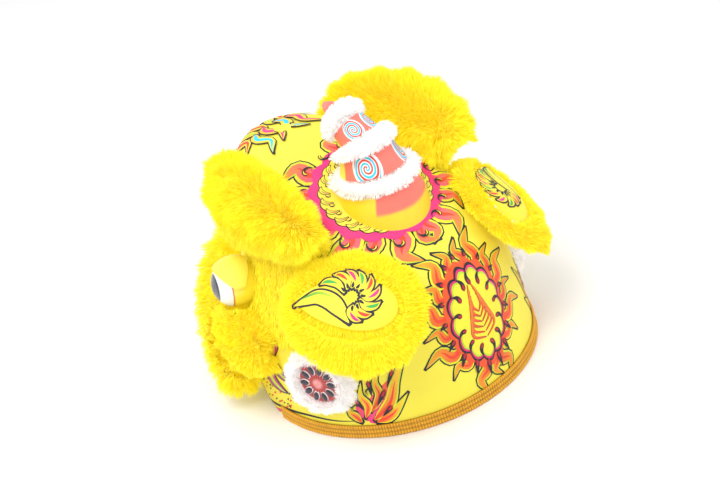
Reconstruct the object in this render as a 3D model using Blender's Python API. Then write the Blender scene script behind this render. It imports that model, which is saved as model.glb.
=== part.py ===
"""Head of a southern style lion dance costume, at its real size.

The origin is the middle of the footprint, on the floor. The lion faces -Y, its left side is +X and +Z is up.
A thin hollow shell of cloth and paper on cane carries a three tier horn, fur covered brows and cheeks,
hinged eyelids, ears and jaw, and furred lips.
"""

import math

import bmesh
import bpy
import numpy as np
from mathutils import Matrix, Vector

# Shell
RIM_RADIUS = 0.250
SHELL_HEIGHT = 0.435
FACE_DEPTH = 0.300
SHELL_WALL = 0.003
MOUTH_HEIGHT = 0.165
MOUTH_HALF_ANGLE = math.radians(76.0)
SHELL_COLUMNS = 40
SHELL_RINGS = 15

# Braid round the rim
BAND_HEIGHT = 0.024
BAND_THICKNESS = 0.004
BAND_HALF_ANGLE = math.radians(101.0)

# Clearances
GAP = 0.0005
SEAT_GAP = 0.0008
MOVING_GAP = 0.0025

# Horn
HORN_BASE_Y = 0.058
HORN_RISE = 0.148
HORN_RADIUS = 0.078
HORN_REACH = 0.100
TRIM_PILE = 0.011

# Brows
BROW_LENGTH = 0.315
BROW_HEIGHT = 0.186
BROW_THICKNESS = 0.104
BROW_INSET = 0.085
BROW_CENTRE_Y = -0.040
BROW_BELOW_CROWN = 0.063

# Ears
EAR_LENGTH = 0.166
EAR_WIDTH = 0.104
EAR_BOARD = 0.005
EAR_FUR = 0.043
EAR_FUR_THICKNESS = 0.034
EAR_ROOT = 1.3
EAR_STAND_OFF = 0.034
EAR_BEND = 0.0103
EAR_ANGLE = math.radians(52.0)
EAR_LEVEL = 5.35
EAR_LIFT = math.radians(24.0)
EAR_FACING = Vector((0.52, 0.47, 0.71))
EAR_POINTING = Vector((-0.467, 0.876, -0.117))

# Eyes
EYE_RADIUS = 0.043
EYE_STAND_OFF = 0.025
EYE_ANGLE = math.radians(116.0)
EYE_LEVEL = 5.0
LID_WALL = 0.003

# Cheeks
CHEEK_LENGTH = 0.196
CHEEK_HEIGHT = 0.132
CHEEK_THICKNESS = 0.086
CHEEK_ANGLE = math.radians(111.0)
CHEEK_LEVEL = 2.90

# Side ornaments
GILL_LENGTH = 0.126
GILL_HEIGHT = 0.112
GILL_PILE = 0.020
GILL_DISC = 0.076
GILL_DISC_THICKNESS = 0.009
GILL_ANGLE = math.radians(73.5)
GILL_LEVEL = 2.20

# Nose, lips, jaw and tongue
NOSE_WIDTH = 0.090
NOSE_HEIGHT = 0.060
NOSE_DEPTH = 0.064
NOSE_LEVEL = 6.60
LIP_RADIUS = 0.044
LIP_STAND_OFF = 0.034
JAW_PLATE = 0.004
JAW_CLEARANCE = 0.006
JAW_LEVEL = 0.036
JAW_HINGE_Y = -0.085
JAW_FUR_RADIUS = 0.022
TONGUE_LENGTH = 0.110
TONGUE_WIDTH = 0.090
TONGUE_THICKNESS = 0.010

# Length of the fur locks
PILE = 0.013

# Rings of the shell from rim to crown. height: share of SHELL_HEIGHT. half and rear: shares of
# RIM_RADIUS. front: share of FACE_DEPTH. round: 2 is an ellipse, less is narrower.
SHELL_ROWS = (
    # height, half, rear, front, round
    (0.000, 1.000, 1.000, 0.950, 2.00),
    (0.110, 0.992, 0.984, 0.965, 2.00),
    (0.230, 0.976, 0.956, 0.985, 1.95),
    (0.345, 0.952, 0.932, 1.000, 1.90),
    (0.450, 0.920, 0.900, 0.990, 1.80),
    (0.540, 0.876, 0.842, 0.950, 1.75),
    (0.615, 0.818, 0.752, 0.910, 1.78),
    (0.680, 0.752, 0.620, 0.890, 1.85),
    (0.745, 0.680, 0.450, 0.880, 1.92),
    (0.820, 0.592, 0.215, 0.872, 2.00),
    (0.895, 0.490, -0.040, 0.852, 2.00),
    (0.950, 0.380, -0.240, 0.815, 2.00),
    (0.986, 0.230, -0.400, 0.750, 2.00),
    (1.000, 0.004, -0.640, 0.537, 2.00),
)

# The horn's axis and outline. reach: share of HORN_REACH forward of the base. rise: share of HORN_RISE.
# radius: share of HORN_RADIUS. lean: degrees forward.
HORN_ROWS = {
    "horn_lower": ((0.000, -0.400, 1.080, 0.0), (0.000, -0.050, 1.000, 0.0), (-0.010, 0.145, 0.880, 0.0)),
    "horn_trim_lower": ((-0.010, 0.150, 0.860, 0.0), (-0.005, 0.315, 0.830, 4.0)),
    "horn_middle": ((-0.005, 0.320, 0.740, 4.0), (0.030, 0.430, 0.660, 7.0), (0.070, 0.530, 0.600, 12.0)),
    "horn_trim_middle": ((0.070, 0.535, 0.620, 12.0), (0.160, 0.665, 0.570, 30.0)),
    "horn_upper": ((0.160, 0.671, 0.460, 30.0), (0.370, 0.785, 0.400, 48.0)),
    "horn_trim_upper": ((0.370, 0.790, 0.400, 48.0), (0.620, 0.925, 0.330, 58.0)),
    "horn_tip": ((0.625, 0.929, 0.200, 58.0), (0.740, 0.975, 0.160, 62.0), (0.860, 1.010, 0.060, 66.0)),
}

# Sections of a brow from front to rear. along: share of BROW_LENGTH. out: share of RIM_RADIUS less BROW_INSET.
# up: share of BROW_HEIGHT. thick and tall: shares of BROW_THICKNESS and BROW_HEIGHT. tip: degrees outward.
BROW_ROWS = (
    # along, out, up, thick, tall, tip
    (-0.500, 0.800, -0.020, 0.120, 0.120, 4.0),
    (-0.465, 0.830, -0.010, 0.620, 0.600, 6.0),
    (-0.400, 0.870, 0.000, 0.900, 0.860, 8.0),
    (-0.290, 0.920, 0.005, 1.020, 0.980, 10.0),
    (-0.150, 0.980, 0.030, 1.060, 1.000, 13.0),
    (0.000, 1.030, 0.050, 1.020, 0.960, 16.0),
    (0.150, 1.080, 0.050, 0.940, 0.860, 18.0),
    (0.290, 1.110, 0.010, 0.780, 0.700, 20.0),
    (0.400, 1.130, -0.040, 0.540, 0.480, 20.0),
    (0.450, 1.140, -0.070, 0.100, 0.090, 20.0),
)

# Centre line of the upper lip's fur, left half from the middle. angle: degrees from the rear.
# level: ring of the shell. fat: share of LIP_RADIUS.
LIP_ROWS = (
    # angle, level, fat
    (180.0, 3.95, 0.92),
    (166.0, 3.95, 0.98),
    (153.0, 3.70, 1.06),
    (142.0, 3.15, 1.14),
    (132.0, 2.40, 1.20),
    (123.5, 1.62, 1.16),
    (116.0, 1.05, 0.98),
)

COLOURS = {
    # red, green, blue, roughness, metallic
    "shell": (0.95, 0.86, 0.12, 0.60, 0.0),
    "braid": (0.86, 0.50, 0.06, 0.45, 0.3),
    "coral": (1.00, 0.32, 0.26, 0.50, 0.0),
    "white": (0.96, 0.94, 0.91, 0.90, 0.0),
    "yellow": (1.00, 0.80, 0.01, 0.90, 0.0),
    "lid": (0.98, 0.88, 0.14, 0.55, 0.0),
    "eye": (0.90, 0.90, 0.90, 0.20, 0.0),
    "red": (0.80, 0.05, 0.04, 0.40, 0.0),
}


def material(name):
    """A Principled material with the named colour, roughness and metallic value."""
    made = bpy.data.materials.get(name) or bpy.data.materials.new(name)
    made.use_nodes = True
    red, green, blue, roughness, metallic = COLOURS[name]
    shader = made.node_tree.nodes["Principled BSDF"]
    shader.inputs["Base Color"].default_value = (red, green, blue, 1.0)
    shader.inputs["Roughness"].default_value = roughness
    shader.inputs["Metallic"].default_value = metallic
    made.diffuse_color = (red, green, blue, 1.0)
    return made


def smooth_rows(rows, at):
    """Values of a table at a fractional row, along a cubic through its rows."""
    table = np.array(rows, float)
    at = min(max(at, 0.0), len(table) - 1.0)
    low = min(int(at), len(table) - 2)
    part = at - low
    slope = np.gradient(table, axis=0)
    h00 = 2 * part**3 - 3 * part**2 + 1
    h10 = part**3 - 2 * part**2 + part
    h01 = -2 * part**3 + 3 * part**2
    h11 = part**3 - part**2
    return h00 * table[low] + h10 * slope[low] + h01 * table[low + 1] + h11 * slope[low + 1]


def shell_point(angle, level, inset=0.0):
    """Point of the shell's outer face, or inset inside it. angle runs from the rear (+Y) by the left side."""
    height, half, rear, front, curve = smooth_rows(SHELL_ROWS, level)
    half = max(half * RIM_RADIUS, GAP)
    rear = rear * RIM_RADIUS
    front = -front * FACE_DEPTH
    middle = 0.0 if rear > 0.6 * RIM_RADIUS else (rear + front) / 2 * (1 - max(rear, 0) / (0.6 * RIM_RADIUS))
    across = math.sin(angle)
    along = math.cos(angle)
    power = 2.0 if along > 0 else curve
    scale = (abs(across) ** power + abs(along) ** power) ** (-1 / power)
    reach = rear - middle if along > 0 else middle - front
    point = Vector((half * across * scale, middle + reach * along * scale, height * SHELL_HEIGHT))
    if inset:
        point = point - shell_normal(angle, level) * inset
    return point


def shell_normal(angle, level):
    """Outward normal of the shell's outer face."""
    step = 0.01
    low = max(level - 0.05, 0.0)
    high = min(level + 0.05, len(SHELL_ROWS) - 1.3)
    level = min(level, len(SHELL_ROWS) - 1.35)
    around = shell_point(angle + step, level) - shell_point(angle - step, level)
    up = shell_point(angle, high) - shell_point(angle, low)
    return around.cross(up).normalized() * -1


def mesh_object(name, points, faces, colour, smooth=True):
    """A mesh object with its faces turned outwards."""
    data = bpy.data.meshes.new(name)
    data.from_pydata([tuple(point) for point in points], [], faces)
    body = bmesh.new()
    body.from_mesh(data)
    bmesh.ops.remove_doubles(body, verts=body.verts, dist=1e-6)
    bmesh.ops.recalc_face_normals(body, faces=body.faces)
    body.to_mesh(data)
    body.free()
    if smooth:
        data.shade_smooth()
        data.set_sharp_from_angle(angle=math.radians(50))
    made = bpy.data.objects.new(name, data)
    bpy.context.scene.collection.objects.link(made)
    data.materials.append(material(colour))
    return made


def loft(name, rings, colour, closed=False):
    """A solid through rings of equal length, capped at both ends or closed round on itself."""
    count = len(rings[0])
    points = [point for ring in rings for point in ring]
    faces = []
    total = len(rings)
    for row in range(total if closed else total - 1):
        here = row * count
        there = (row + 1) % total * count
        for column in range(count):
            after = (column + 1) % count
            faces.append((here + column, here + after, there + after, there + column))
    if not closed:
        faces.append(tuple(range(count)))
        faces.append(tuple(reversed(range((total - 1) * count, total * count))))
    return mesh_object(name, points, faces, colour)


def mirrored(source, name):
    """The right hand copy of a left hand piece, as a mesh of its own."""
    graph = bpy.context.evaluated_depsgraph_get()
    mesh = bpy.data.meshes.new_from_object(source.evaluated_get(graph))
    mesh.transform(Matrix.Scale(-1, 4, Vector((1, 0, 0))) @ source.matrix_world)
    mesh.flip_normals()
    mesh.name = name
    made = bpy.data.objects.new(name, mesh)
    bpy.context.scene.collection.objects.link(made)
    return made


def cut(target, cutter):
    """Takes the cutter's volume out of the target."""
    modifier = target.modifiers.new("fit " + cutter.name, "BOOLEAN")
    modifier.operation = "DIFFERENCE"
    modifier.solver = "EXACT"
    modifier.object = cutter


def settle(target):
    """Applies the cuts and drops loose slivers, so that one closed body is left."""
    bpy.context.view_layer.update()
    graph = bpy.context.evaluated_depsgraph_get()
    mesh = bpy.data.meshes.new_from_object(target.evaluated_get(graph))
    target.modifiers.clear()
    body = bmesh.new()
    body.from_mesh(mesh)
    bmesh.ops.remove_doubles(body, verts=body.verts, dist=2e-5)
    bmesh.ops.dissolve_degenerate(body, edges=body.edges, dist=2e-5)
    unseen = set(body.verts)
    islands = []
    while unseen:
        stack = [unseen.pop()]
        island = set(stack)
        while stack:
            for edge in stack.pop().link_edges:
                for vert in edge.verts:
                    if vert in unseen:
                        unseen.discard(vert)
                        island.add(vert)
                        stack.append(vert)
        islands.append(island)
    islands.sort(key=len)
    for island in islands[:-1]:
        bmesh.ops.delete(body, geom=list(island), context="VERTS")
    bmesh.ops.triangulate(body, faces=body.faces)
    body.to_mesh(mesh)
    body.free()
    target.data = mesh
    return target


def helper(made):
    """Marks a cutter, which is no piece of the object."""
    made.hide_render = True
    made.display_type = "WIRE"
    return made


def angles(count):
    return [2 * math.pi * step / count for step in range(count)]


def lock(row, column, length):
    """Height of one fur lock: every other point is a tip, and tips differ in length."""
    if (row + column) % 2:
        return 0.0
    return length * (0.65 + 0.35 * math.sin(3.1 * row + 5.7 * column))


def mouth_edge(angle):
    """Height of the shell's lower edge: the rim behind, an arch over the mouth in front."""
    from_front = abs(math.pi - angle % (2 * math.pi))
    if from_front >= MOUTH_HALF_ANGLE:
        return 0.0
    share = 1 - from_front / MOUTH_HALF_ANGLE
    return MOUTH_HEIGHT * math.sin(share * math.pi / 2) ** 1.3


def level_at(height):
    """The shell level whose ring lies at a height."""
    low, high = 0.0, len(SHELL_ROWS) - 1.0
    for _ in range(40):
        middle = (low + high) / 2
        if shell_point(0.0, middle).z < height:
            low = middle
        else:
            high = middle
    return (low + high) / 2


def shell_ring(share, inset):
    """One ring of the shell, from the lower edge at share 0 to the crown at share 1."""
    ring = []
    top = len(SHELL_ROWS) - 1.0
    for angle in angles(SHELL_COLUMNS):
        start = level_at(mouth_edge(angle))
        ring.append(shell_point(angle, start + (top - start) * share, inset))
    return ring


def make_shell():
    """The hollow wall, with the same rings inside and outside, joined round the lower edge."""
    shares = [step / SHELL_RINGS for step in range(SHELL_RINGS)]
    outer = [shell_ring(share, 0.0) for share in shares]
    inner = [shell_ring(share, SHELL_WALL) for share in shares]
    for inside, outside in zip(inner[0], outer[0]):
        inside.z = outside.z
    crown = Vector((0, shell_point(0.0, len(SHELL_ROWS) - 1.0).y, SHELL_HEIGHT))
    rings = outer + inner
    count = SHELL_COLUMNS
    points = [point for ring in rings for point in ring] + [crown, crown - Vector((0, 0, SHELL_WALL))]
    faces = []
    last = len(outer)
    for row in range(last - 1):
        for column in range(count):
            after = (column + 1) % count
            a, b = row * count, (row + 1) * count
            faces.append((a + column, a + after, b + after))
            faces.append((a + column, b + after, b + column))
            c, d = a + last * count, b + last * count
            faces.append((c + column, d + after, c + after))
            faces.append((c + column, d + column, d + after))
    for column in range(count):
        after = (column + 1) % count
        a, c = (last - 1) * count, (2 * last - 1) * count
        faces.append((a + column, a + after, len(points) - 2))
        faces.append((c + after, c + column, len(points) - 1))
        faces.append((column, last * count + column, last * count + after, after))
    return mesh_object("head_shell", points, faces, "shell")


def make_seat():
    """The shell's filled outline grown by the gap: what rests on the shell is cut to it."""
    top = len(SHELL_ROWS) - 1.0
    below = Vector((0, 0, -BAND_HEIGHT))
    rings = []
    for part in (0.0, 0.0, 0.3, 0.6):
        ring = []
        for angle in angles(SHELL_COLUMNS):
            ring.append(shell_point(angle, level_at(mouth_edge(angle)) * part, -SEAT_GAP))
        rings.append(ring)
    rings[0] = [point + below for point in rings[0]]
    rings += [shell_ring(step / SHELL_RINGS, -SEAT_GAP) for step in range(SHELL_RINGS)]
    count = SHELL_COLUMNS
    points = [point for ring in rings for point in ring]
    crown = Vector((0, shell_point(0.0, top).y, SHELL_HEIGHT + SEAT_GAP))
    points += [crown, rings[0][0].lerp(rings[0][count // 2], 0.5)]
    faces = []
    for row in range(len(rings) - 1):
        for column in range(count):
            after = (column + 1) % count
            a, b = row * count, (row + 1) * count
            faces.append((a + column, a + after, b + after))
            faces.append((a + column, b + after, b + column))
    for column in range(count):
        after = (column + 1) % count
        last = (len(rings) - 1) * count
        faces.append((last + column, last + after, len(points) - 2))
        faces.append((after, column, len(points) - 1))
    return helper(mesh_object("seat_on_shell", points, faces, "shell"))


def make_band():
    """The braid outside the rim, from one mouth corner round the rear to the other."""
    steps = [angle for angle in angles(SHELL_COLUMNS)]
    steps = [angle - 2 * math.pi if angle > math.pi else angle for angle in steps]
    steps = sorted(angle for angle in steps if abs(angle) <= BAND_HALF_ANGLE)
    top = level_at(BAND_HEIGHT)
    rings = []
    for angle in steps:
        rings.append(
            [
                shell_point(angle, 0.0, -GAP),
                shell_point(angle, 0.0, -GAP - BAND_THICKNESS),
                shell_point(angle, top / 2, -GAP - BAND_THICKNESS * 1.25),
                shell_point(angle, top, -GAP - BAND_THICKNESS),
                shell_point(angle, top, -GAP),
                shell_point(angle, top / 2, -GAP),
            ]
        )
    for ring in rings:
        for index in (0, 1):
            ring[index].z = 0.0
    return loft("rim_band", rings, "braid")


def horn_frame(reach, rise, lean):
    """Place and directions of one section of the horn's axis."""
    centre = Vector((0, HORN_BASE_Y - reach * HORN_REACH, HORN_FOOT + rise * HORN_RISE))
    tilt = math.radians(lean)
    axis = Vector((0, -math.sin(tilt), math.cos(tilt)))
    side = Vector((1, 0, 0))
    return centre, side, axis.cross(side), axis


def horn_piece(name, colour):
    """One tier or trim of the horn: round sections along its leaning axis."""
    rows = HORN_ROWS[name]
    fur = "trim" in name
    rings = []
    sides = 20
    if fur:
        stations = ((0.0, 0.0), (0.12, 0.80), (0.5, 1.0), (0.88, 0.75), (1.0, 0.0))
        for index, (share, bulge) in enumerate(stations):
            reach, rise, radius, lean = smooth_rows(rows, share)
            centre, side, front, axis = horn_frame(reach, rise, lean)
            ring = []
            for column, angle in enumerate(angles(sides)):
                size = radius * HORN_RADIUS + bulge * (TRIM_PILE + lock(index, column, TRIM_PILE * 0.5))
                ring.append(centre + (side * math.cos(angle) + front * math.sin(angle)) * size)
            rings.append(ring)
    else:
        count = 2 * (len(rows) - 1) + 1
        for index in range(count):
            reach, rise, radius, lean = smooth_rows(rows, index * (len(rows) - 1) / (count - 1))
            centre, side, front, axis = horn_frame(reach, rise, lean)
            size = radius * HORN_RADIUS
            rings.append([centre + (side * math.cos(t) + front * math.sin(t)) * size for t in angles(sides)])
    return loft(name, rings, colour)


def brow_section(at):
    along, out, up, thick, tall, tip = smooth_rows(BROW_ROWS, at)
    centre = Vector(
        (
            out * (RIM_RADIUS - BROW_INSET),
            BROW_CENTRE_Y + along * BROW_LENGTH,
            SHELL_HEIGHT - BROW_BELOW_CROWN + up * BROW_HEIGHT,
        )
    )
    return centre, thick * BROW_THICKNESS / 2, tall * BROW_HEIGHT / 2, math.radians(tip)


def make_brow():
    """The left brow: upright oval sections from front to rear, tipped outward, with fur locks."""
    rings = []
    count = 14
    for row in range(count):
        centre, thick, tall, tip = brow_section(row * (len(BROW_ROWS) - 1) / (count - 1))
        ring = []
        for column, angle in enumerate(angles(16)):
            grow = lock(row, column, PILE) if 0 < row < count - 1 else 0.0
            across = (thick + grow) * math.cos(angle)
            upward = (tall + grow) * math.sin(angle)
            ring.append(
                centre
                + Vector(
                    (
                        across * math.cos(tip) + upward * math.sin(tip),
                        0,
                        upward * math.cos(tip) - across * math.sin(tip),
                    )
                )
            )
        rings.append(ring)
    return loft("brow_left", rings, "yellow")


def blob(name, centre, directions, sizes, colour, rows=9, columns=14, pile=0.0):
    """An ellipsoid in the given directions, with fur locks where pile is set."""
    points = []
    side, up, out = directions
    for row in range(1, rows):
        polar = math.pi * row / rows
        for column, angle in enumerate(angles(columns)):
            grow = lock(row, column, pile)
            points.append(
                centre
                + side * (sizes[0] + grow) * math.sin(polar) * math.cos(angle)
                + up * (sizes[1] + grow) * math.sin(polar) * math.sin(angle)
                + out * (sizes[2] + grow) * math.cos(polar)
            )
    points += [centre + out * sizes[2], centre - out * sizes[2]]
    faces = []
    for row in range(rows - 2):
        for column in range(columns):
            after = (column + 1) % columns
            a, b = row * columns, (row + 1) * columns
            faces.append((a + column, a + after, b + after, b + column))
    last = (rows - 2) * columns
    for column in range(columns):
        after = (column + 1) % columns
        faces.append((column, after, len(points) - 2))
        faces.append((last + after, last + column, len(points) - 1))
    return mesh_object(name, points, faces, colour)


def shell_frame(angle, level):
    """Point of the shell with its directions: forward along it, up along it, and out."""
    point = shell_point(angle, level)
    out = shell_normal(angle, level)
    forward = (shell_point(angle + 0.02, level) - shell_point(angle - 0.02, level)).normalized()
    up = out.cross(forward).normalized()
    if up.z < 0:
        up.negate()
    return point, forward, up, out


def make_ear():
    """The left ear: a leaf shaped board, narrow in front, inside an oval ring of fur."""
    point, forward, up, out = shell_frame(EAR_ANGLE, EAR_LEVEL)
    normal = EAR_FACING.normalized()
    rearward = (EAR_POINTING - normal * EAR_POINTING.dot(normal)).normalized()
    downward = rearward.cross(normal).normalized()
    if downward.z > 0:
        downward.negate()
    centre = point + out * EAR_STAND_OFF
    steps = angles(24)

    def leaf(angle, grow, scale=1.0):
        along = math.cos(angle)
        width = (0.80 + 0.20 * along) * math.sin(angle)
        size = Vector((EAR_LENGTH / 2 * along, EAR_WIDTH / 2 * width, 0)) * scale
        outward = Vector((math.cos(angle), math.sin(angle), 0))
        return size + outward * grow

    def fringe(angle):
        """The fur hangs longest along the lower edge and is shortest at the hinge."""
        low = max(math.sin(angle), 0.0)
        high = max(-math.sin(angle), 0.0)
        front = max(-math.cos(angle), 0.0)
        return 1.0 + 0.65 * low**1.5 + 0.15 * high - 0.25 * front

    def place(flat, height):
        bend = -EAR_BEND * (flat.x**2 + flat.y**2) / (EAR_LENGTH / 2) ** 2
        return centre + rearward * flat.x + downward * flat.y + normal * (height + bend)

    board = []
    lift = 0.25 * EAR_FUR_THICKNESS
    for scale, height in ((0.12, -0.5), (0.6, -0.5), (0.97, -0.5), (1.0, 0.0), (0.97, 0.5), (0.6, 0.5), (0.12, 0.5)):
        board.append([place(leaf(angle, 0.0, scale), lift + height * EAR_BOARD) for angle in steps])
    board = loft("ear_left", board, "shell")

    rings = []
    half = EAR_FUR_THICKNESS / 2
    profile = ((0.0, -0.35), (0.35, -0.90), (0.80, -0.55), (1.0, 0.0), (0.80, 0.70), (0.35, 1.0), (0.0, 0.45))
    for column, angle in enumerate(steps):
        ring = []
        for row, (share, height) in enumerate(profile):
            spread = GAP + EAR_FUR * share * fringe(angle)
            raised = lock(row, column, PILE * 0.8) if 0 < row < 6 else 0.0
            root = 1.0 + EAR_ROOT * max(-math.cos(angle), 0.0) ** 3 if height < 0 else 1.0
            ring.append(place(leaf(angle, spread + raised * share), half * height * root + raised * 0.4 * height))
        rings.append(ring)
    fur = loft("ear_fur_left", rings, "yellow", closed=True)
    hinge = place(leaf(math.pi, GAP + EAR_FUR * fringe(math.pi)), -half)
    rooms = []
    reach = EAR_FUR + PILE * 0.9
    tall = half + PILE * 0.6 + MOVING_GAP
    for step in range(3):
        turn = Matrix.Translation(hinge) @ Matrix.Rotation(EAR_LIFT * step / 2, 4, downward)
        turn = turn @ Matrix.Translation(-hinge)
        room = []
        for scale, height in ((0.3, -1.0), (0.85, -1.0), (1.0, -0.4), (1.0, 0.4), (0.85, 1.0), (0.3, 1.0)):
            ring = []
            for angle in steps:
                flat = leaf(angle, (reach * fringe(angle) + MOVING_GAP)) * scale
                ring.append(turn @ place(flat, tall * height))
            room.append(ring)
        rooms.append(helper(loft("room_ear_left_%d" % step, room, "yellow")))
    return board, fur, hinge, downward, rooms


def make_eye():
    """The left eyeball and its lid, a thin dome that turns about the eye's level axis."""
    point, forward, up, out = shell_frame(EYE_ANGLE, EYE_LEVEL)
    level_axis = Vector((-out.y, out.x, 0)).normalized()
    facing = Vector((out.x, out.y, 0.12)).normalized()
    top = level_axis.cross(facing)
    if top.z < 0:
        top.negate()
    centre = point + out * EYE_STAND_OFF
    eye = blob("eye_left", centre, (level_axis, top, facing), (EYE_RADIUS,) * 3, "eye", 10, 16)
    inner = EYE_RADIUS + MOVING_GAP
    outer = inner + LID_WALL
    rings = []
    for step in range(9):
        polar = math.radians(12 + 156 * step / 8)
        ring = []
        for radius, turns in ((outer, range(7)), (inner, range(6, -1, -1))):
            for turn in turns:
                lift = math.radians(42 + 78 * turn / 6)
                ring.append(
                    centre
                    + level_axis * radius * math.cos(polar)
                    + (facing * math.cos(lift) + top * math.sin(lift)) * radius * math.sin(polar)
                )
        rings.append(ring)
    lid = loft("eyelid_left", rings, "lid")
    return eye, lid, centre, level_axis


def make_gill():
    """The left side ornament: an oval ring of white fur round a low coral disc."""
    point, forward, up, out = shell_frame(GILL_ANGLE, GILL_LEVEL)
    steps = angles(20)
    rings = []
    hole = GILL_DISC / 2 + GAP
    profile = ((0.0, -0.6), (0.25, -0.6), (1.0, -0.35), (0.85, 0.45), (0.5, 0.95), (0.15, 0.9), (0.0, 0.45))
    for column, angle in enumerate(steps):
        ring = []
        for row, (share, height) in enumerate(profile):
            raised = lock(row, column, GILL_PILE * 0.3) if 1 < row < 6 else 0.0
            long = hole + (GILL_LENGTH / 2 - hole + raised) * share
            tall = hole + (GILL_HEIGHT / 2 - hole + raised) * share
            ring.append(
                point
                + forward * long * math.cos(angle)
                + up * tall * math.sin(angle)
                + out * (height * GILL_PILE + raised * 0.6 * (height > 0))
            )
        rings.append(ring)
    fur = loft("gill_fur_left", rings, "white", closed=True)
    radius = GILL_DISC / 2
    disc = []
    for size, height in ((1.0, -1.2), (1.0, 0.75), (0.85, 1.0), (0.4, 1.15)):
        disc.append(
            [
                point
                + (forward * math.cos(angle) + up * math.sin(angle)) * radius * size
                + out * height * GILL_DISC_THICKNESS
                for angle in steps
            ]
        )
    disc = loft("gill_disc_left", disc, "coral")
    return fur, disc


def make_lip():
    """The fur roll along the upper lip, drooping at both mouth corners."""
    rows = LIP_ROWS
    count = 3 * (len(rows) - 1)
    half = []
    for step in range(count + 1):
        angle, level, fat = smooth_rows(rows, step * (len(rows) - 1) / count)
        point = shell_point(math.radians(angle), level)
        out = shell_normal(math.radians(angle), level)
        half.append((point + out * LIP_STAND_OFF, out, fat * LIP_RADIUS))
    left = list(reversed(half))
    right = [
        (Vector((-p.x, p.y, p.z)), Vector((-n.x, n.y, n.z)), fat) for p, n, fat in half[1:]
    ]
    path = left + right
    rings = []
    for row, (centre, out, fat) in enumerate(path):
        before = path[max(row - 1, 0)][0]
        after = path[min(row + 1, len(path) - 1)][0]
        along = (after - before).normalized()
        side = (out - along * out.dot(along)).normalized()
        other = along.cross(side)
        ring = []
        for column, angle in enumerate(angles(12)):
            grow = lock(row, column, PILE)
            ring.append(centre + (side * math.cos(angle) + other * math.sin(angle)) * (fat - PILE * 0.5 + grow))
        rings.append(ring)
    for end, inward in ((0, 1), (-1, -2)):
        centre = path[end][0]
        away = (centre - path[inward][0]).normalized()
        small = [centre + away * PILE * 1.5 + (point - centre) * 0.45 for point in rings[end]]
        rings.insert(0, small) if end == 0 else rings.append(small)
    return loft("lip_fur", rings, "yellow")


def jaw_outline(inset):
    """Half outline of the jaw seen from above, from its hinge corner to the middle in front."""
    outline = []
    level = level_at(JAW_LEVEL)
    for step in range(13):
        angle = math.radians(180) - step / 12 * math.radians(70)
        point = shell_point(angle, level, SHELL_WALL + JAW_CLEARANCE + inset)
        if point.y > JAW_HINGE_Y:
            continue
        outline.append((point.x, point.y))
    last = outline[-1]
    outline.append((last[0], JAW_HINGE_Y))
    return outline


def make_jaw():
    """The jaw plate with its fur edge and the tongue on it."""
    edge = jaw_outline(JAW_FUR_RADIUS)
    right = [(-x, y) for x, y in edge[1:]]
    around = list(reversed(edge)) + right
    half = JAW_PLATE / 2
    rings = []
    for height in (-half, half):
        rings.append([Vector((x, y, JAW_LEVEL + height)) for x, y in around])
    jaw = loft("jaw", rings, "red")
    path = [Vector((x, y, JAW_LEVEL)) for x, y in around[1:-1]]
    fur = []
    for row, centre in enumerate(path):
        before = path[max(row - 1, 0)]
        after = path[min(row + 1, len(path) - 1)]
        along = (after - before).normalized()
        side = Vector((along.y, -along.x, 0))
        if side.dot(centre) < 0:
            side.negate()
        thin = 0.55 if row in (0, len(path) - 1) else 1.0
        ring = []
        for column, angle in enumerate(angles(10)):
            grow = lock(row, column, PILE * 0.5) * thin
            size = (JAW_FUR_RADIUS - PILE * 0.5 + grow) * thin
            ring.append(centre + side * math.cos(angle) * size + Vector((0, 0, math.sin(angle) * size * 1.1)))
        fur.append(ring)
    fur = loft("jaw_fur", fur, "yellow")
    grown = []
    for height in (-half - GAP, half + GAP):
        outline = jaw_outline(JAW_FUR_RADIUS - GAP)
        ring = list(reversed(outline)) + [(-x, y) for x, y in outline[1:]]
        grown.append([Vector((x, y + JAW_FUR_RADIUS * (y >= JAW_HINGE_Y), JAW_LEVEL + height)) for x, y in ring])
    cutter = helper(loft("seat_on_jaw", grown, "red"))
    cut(fur, cutter)
    front = min(y for x, y in edge)
    tongue = []
    middle = front + JAW_FUR_RADIUS * 1.3 + TONGUE_LENGTH / 2
    base = JAW_LEVEL + half + GAP
    for size, height in ((0.96, 0.0), (1.0, 0.4), (0.9, 0.85), (0.55, 1.0)):
        tongue.append(
            [
                Vector(
                    (
                        TONGUE_WIDTH / 2 * size * math.cos(angle),
                        middle + TONGUE_LENGTH / 2 * size * math.sin(angle),
                        base + height * TONGUE_THICKNESS,
                    )
                )
                for angle in angles(18)
            ]
        )
    tongue = loft("tongue", tongue, "coral")
    return jaw, fur, tongue


def hinge(name, place, axis, *pieces):
    """An empty on a joint's axis, its X along it, which carries the pieces that turn about it."""
    empty = bpy.data.objects.new(name, None)
    empty.empty_display_size = 0.03
    empty.matrix_world = Matrix.Translation(place) @ Vector(axis).to_track_quat("X", "Z").to_matrix().to_4x4()
    bpy.context.scene.collection.objects.link(empty)
    bpy.context.view_layer.update()
    for piece in pieces:
        piece.parent = empty
        piece.matrix_parent_inverse = empty.matrix_world.inverted()


def set_down():
    """Moves the head so that the origin is the middle of its footprint, on the floor."""
    bpy.context.view_layer.update()
    points = []
    for made in bpy.data.objects:
        if made.type == "MESH" and not made.hide_render:
            points += [made.matrix_world @ Vector(corner) for corner in made.bound_box]
    low = [min(point[axis] for point in points) for axis in range(3)]
    high = [max(point[axis] for point in points) for axis in range(3)]
    shift = Vector((-(low[0] + high[0]) / 2, -(low[1] + high[1]) / 2, -low[2]))
    for made in bpy.data.objects:
        if made.parent is None:
            made.location += shift
    bpy.context.view_layer.update()


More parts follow.
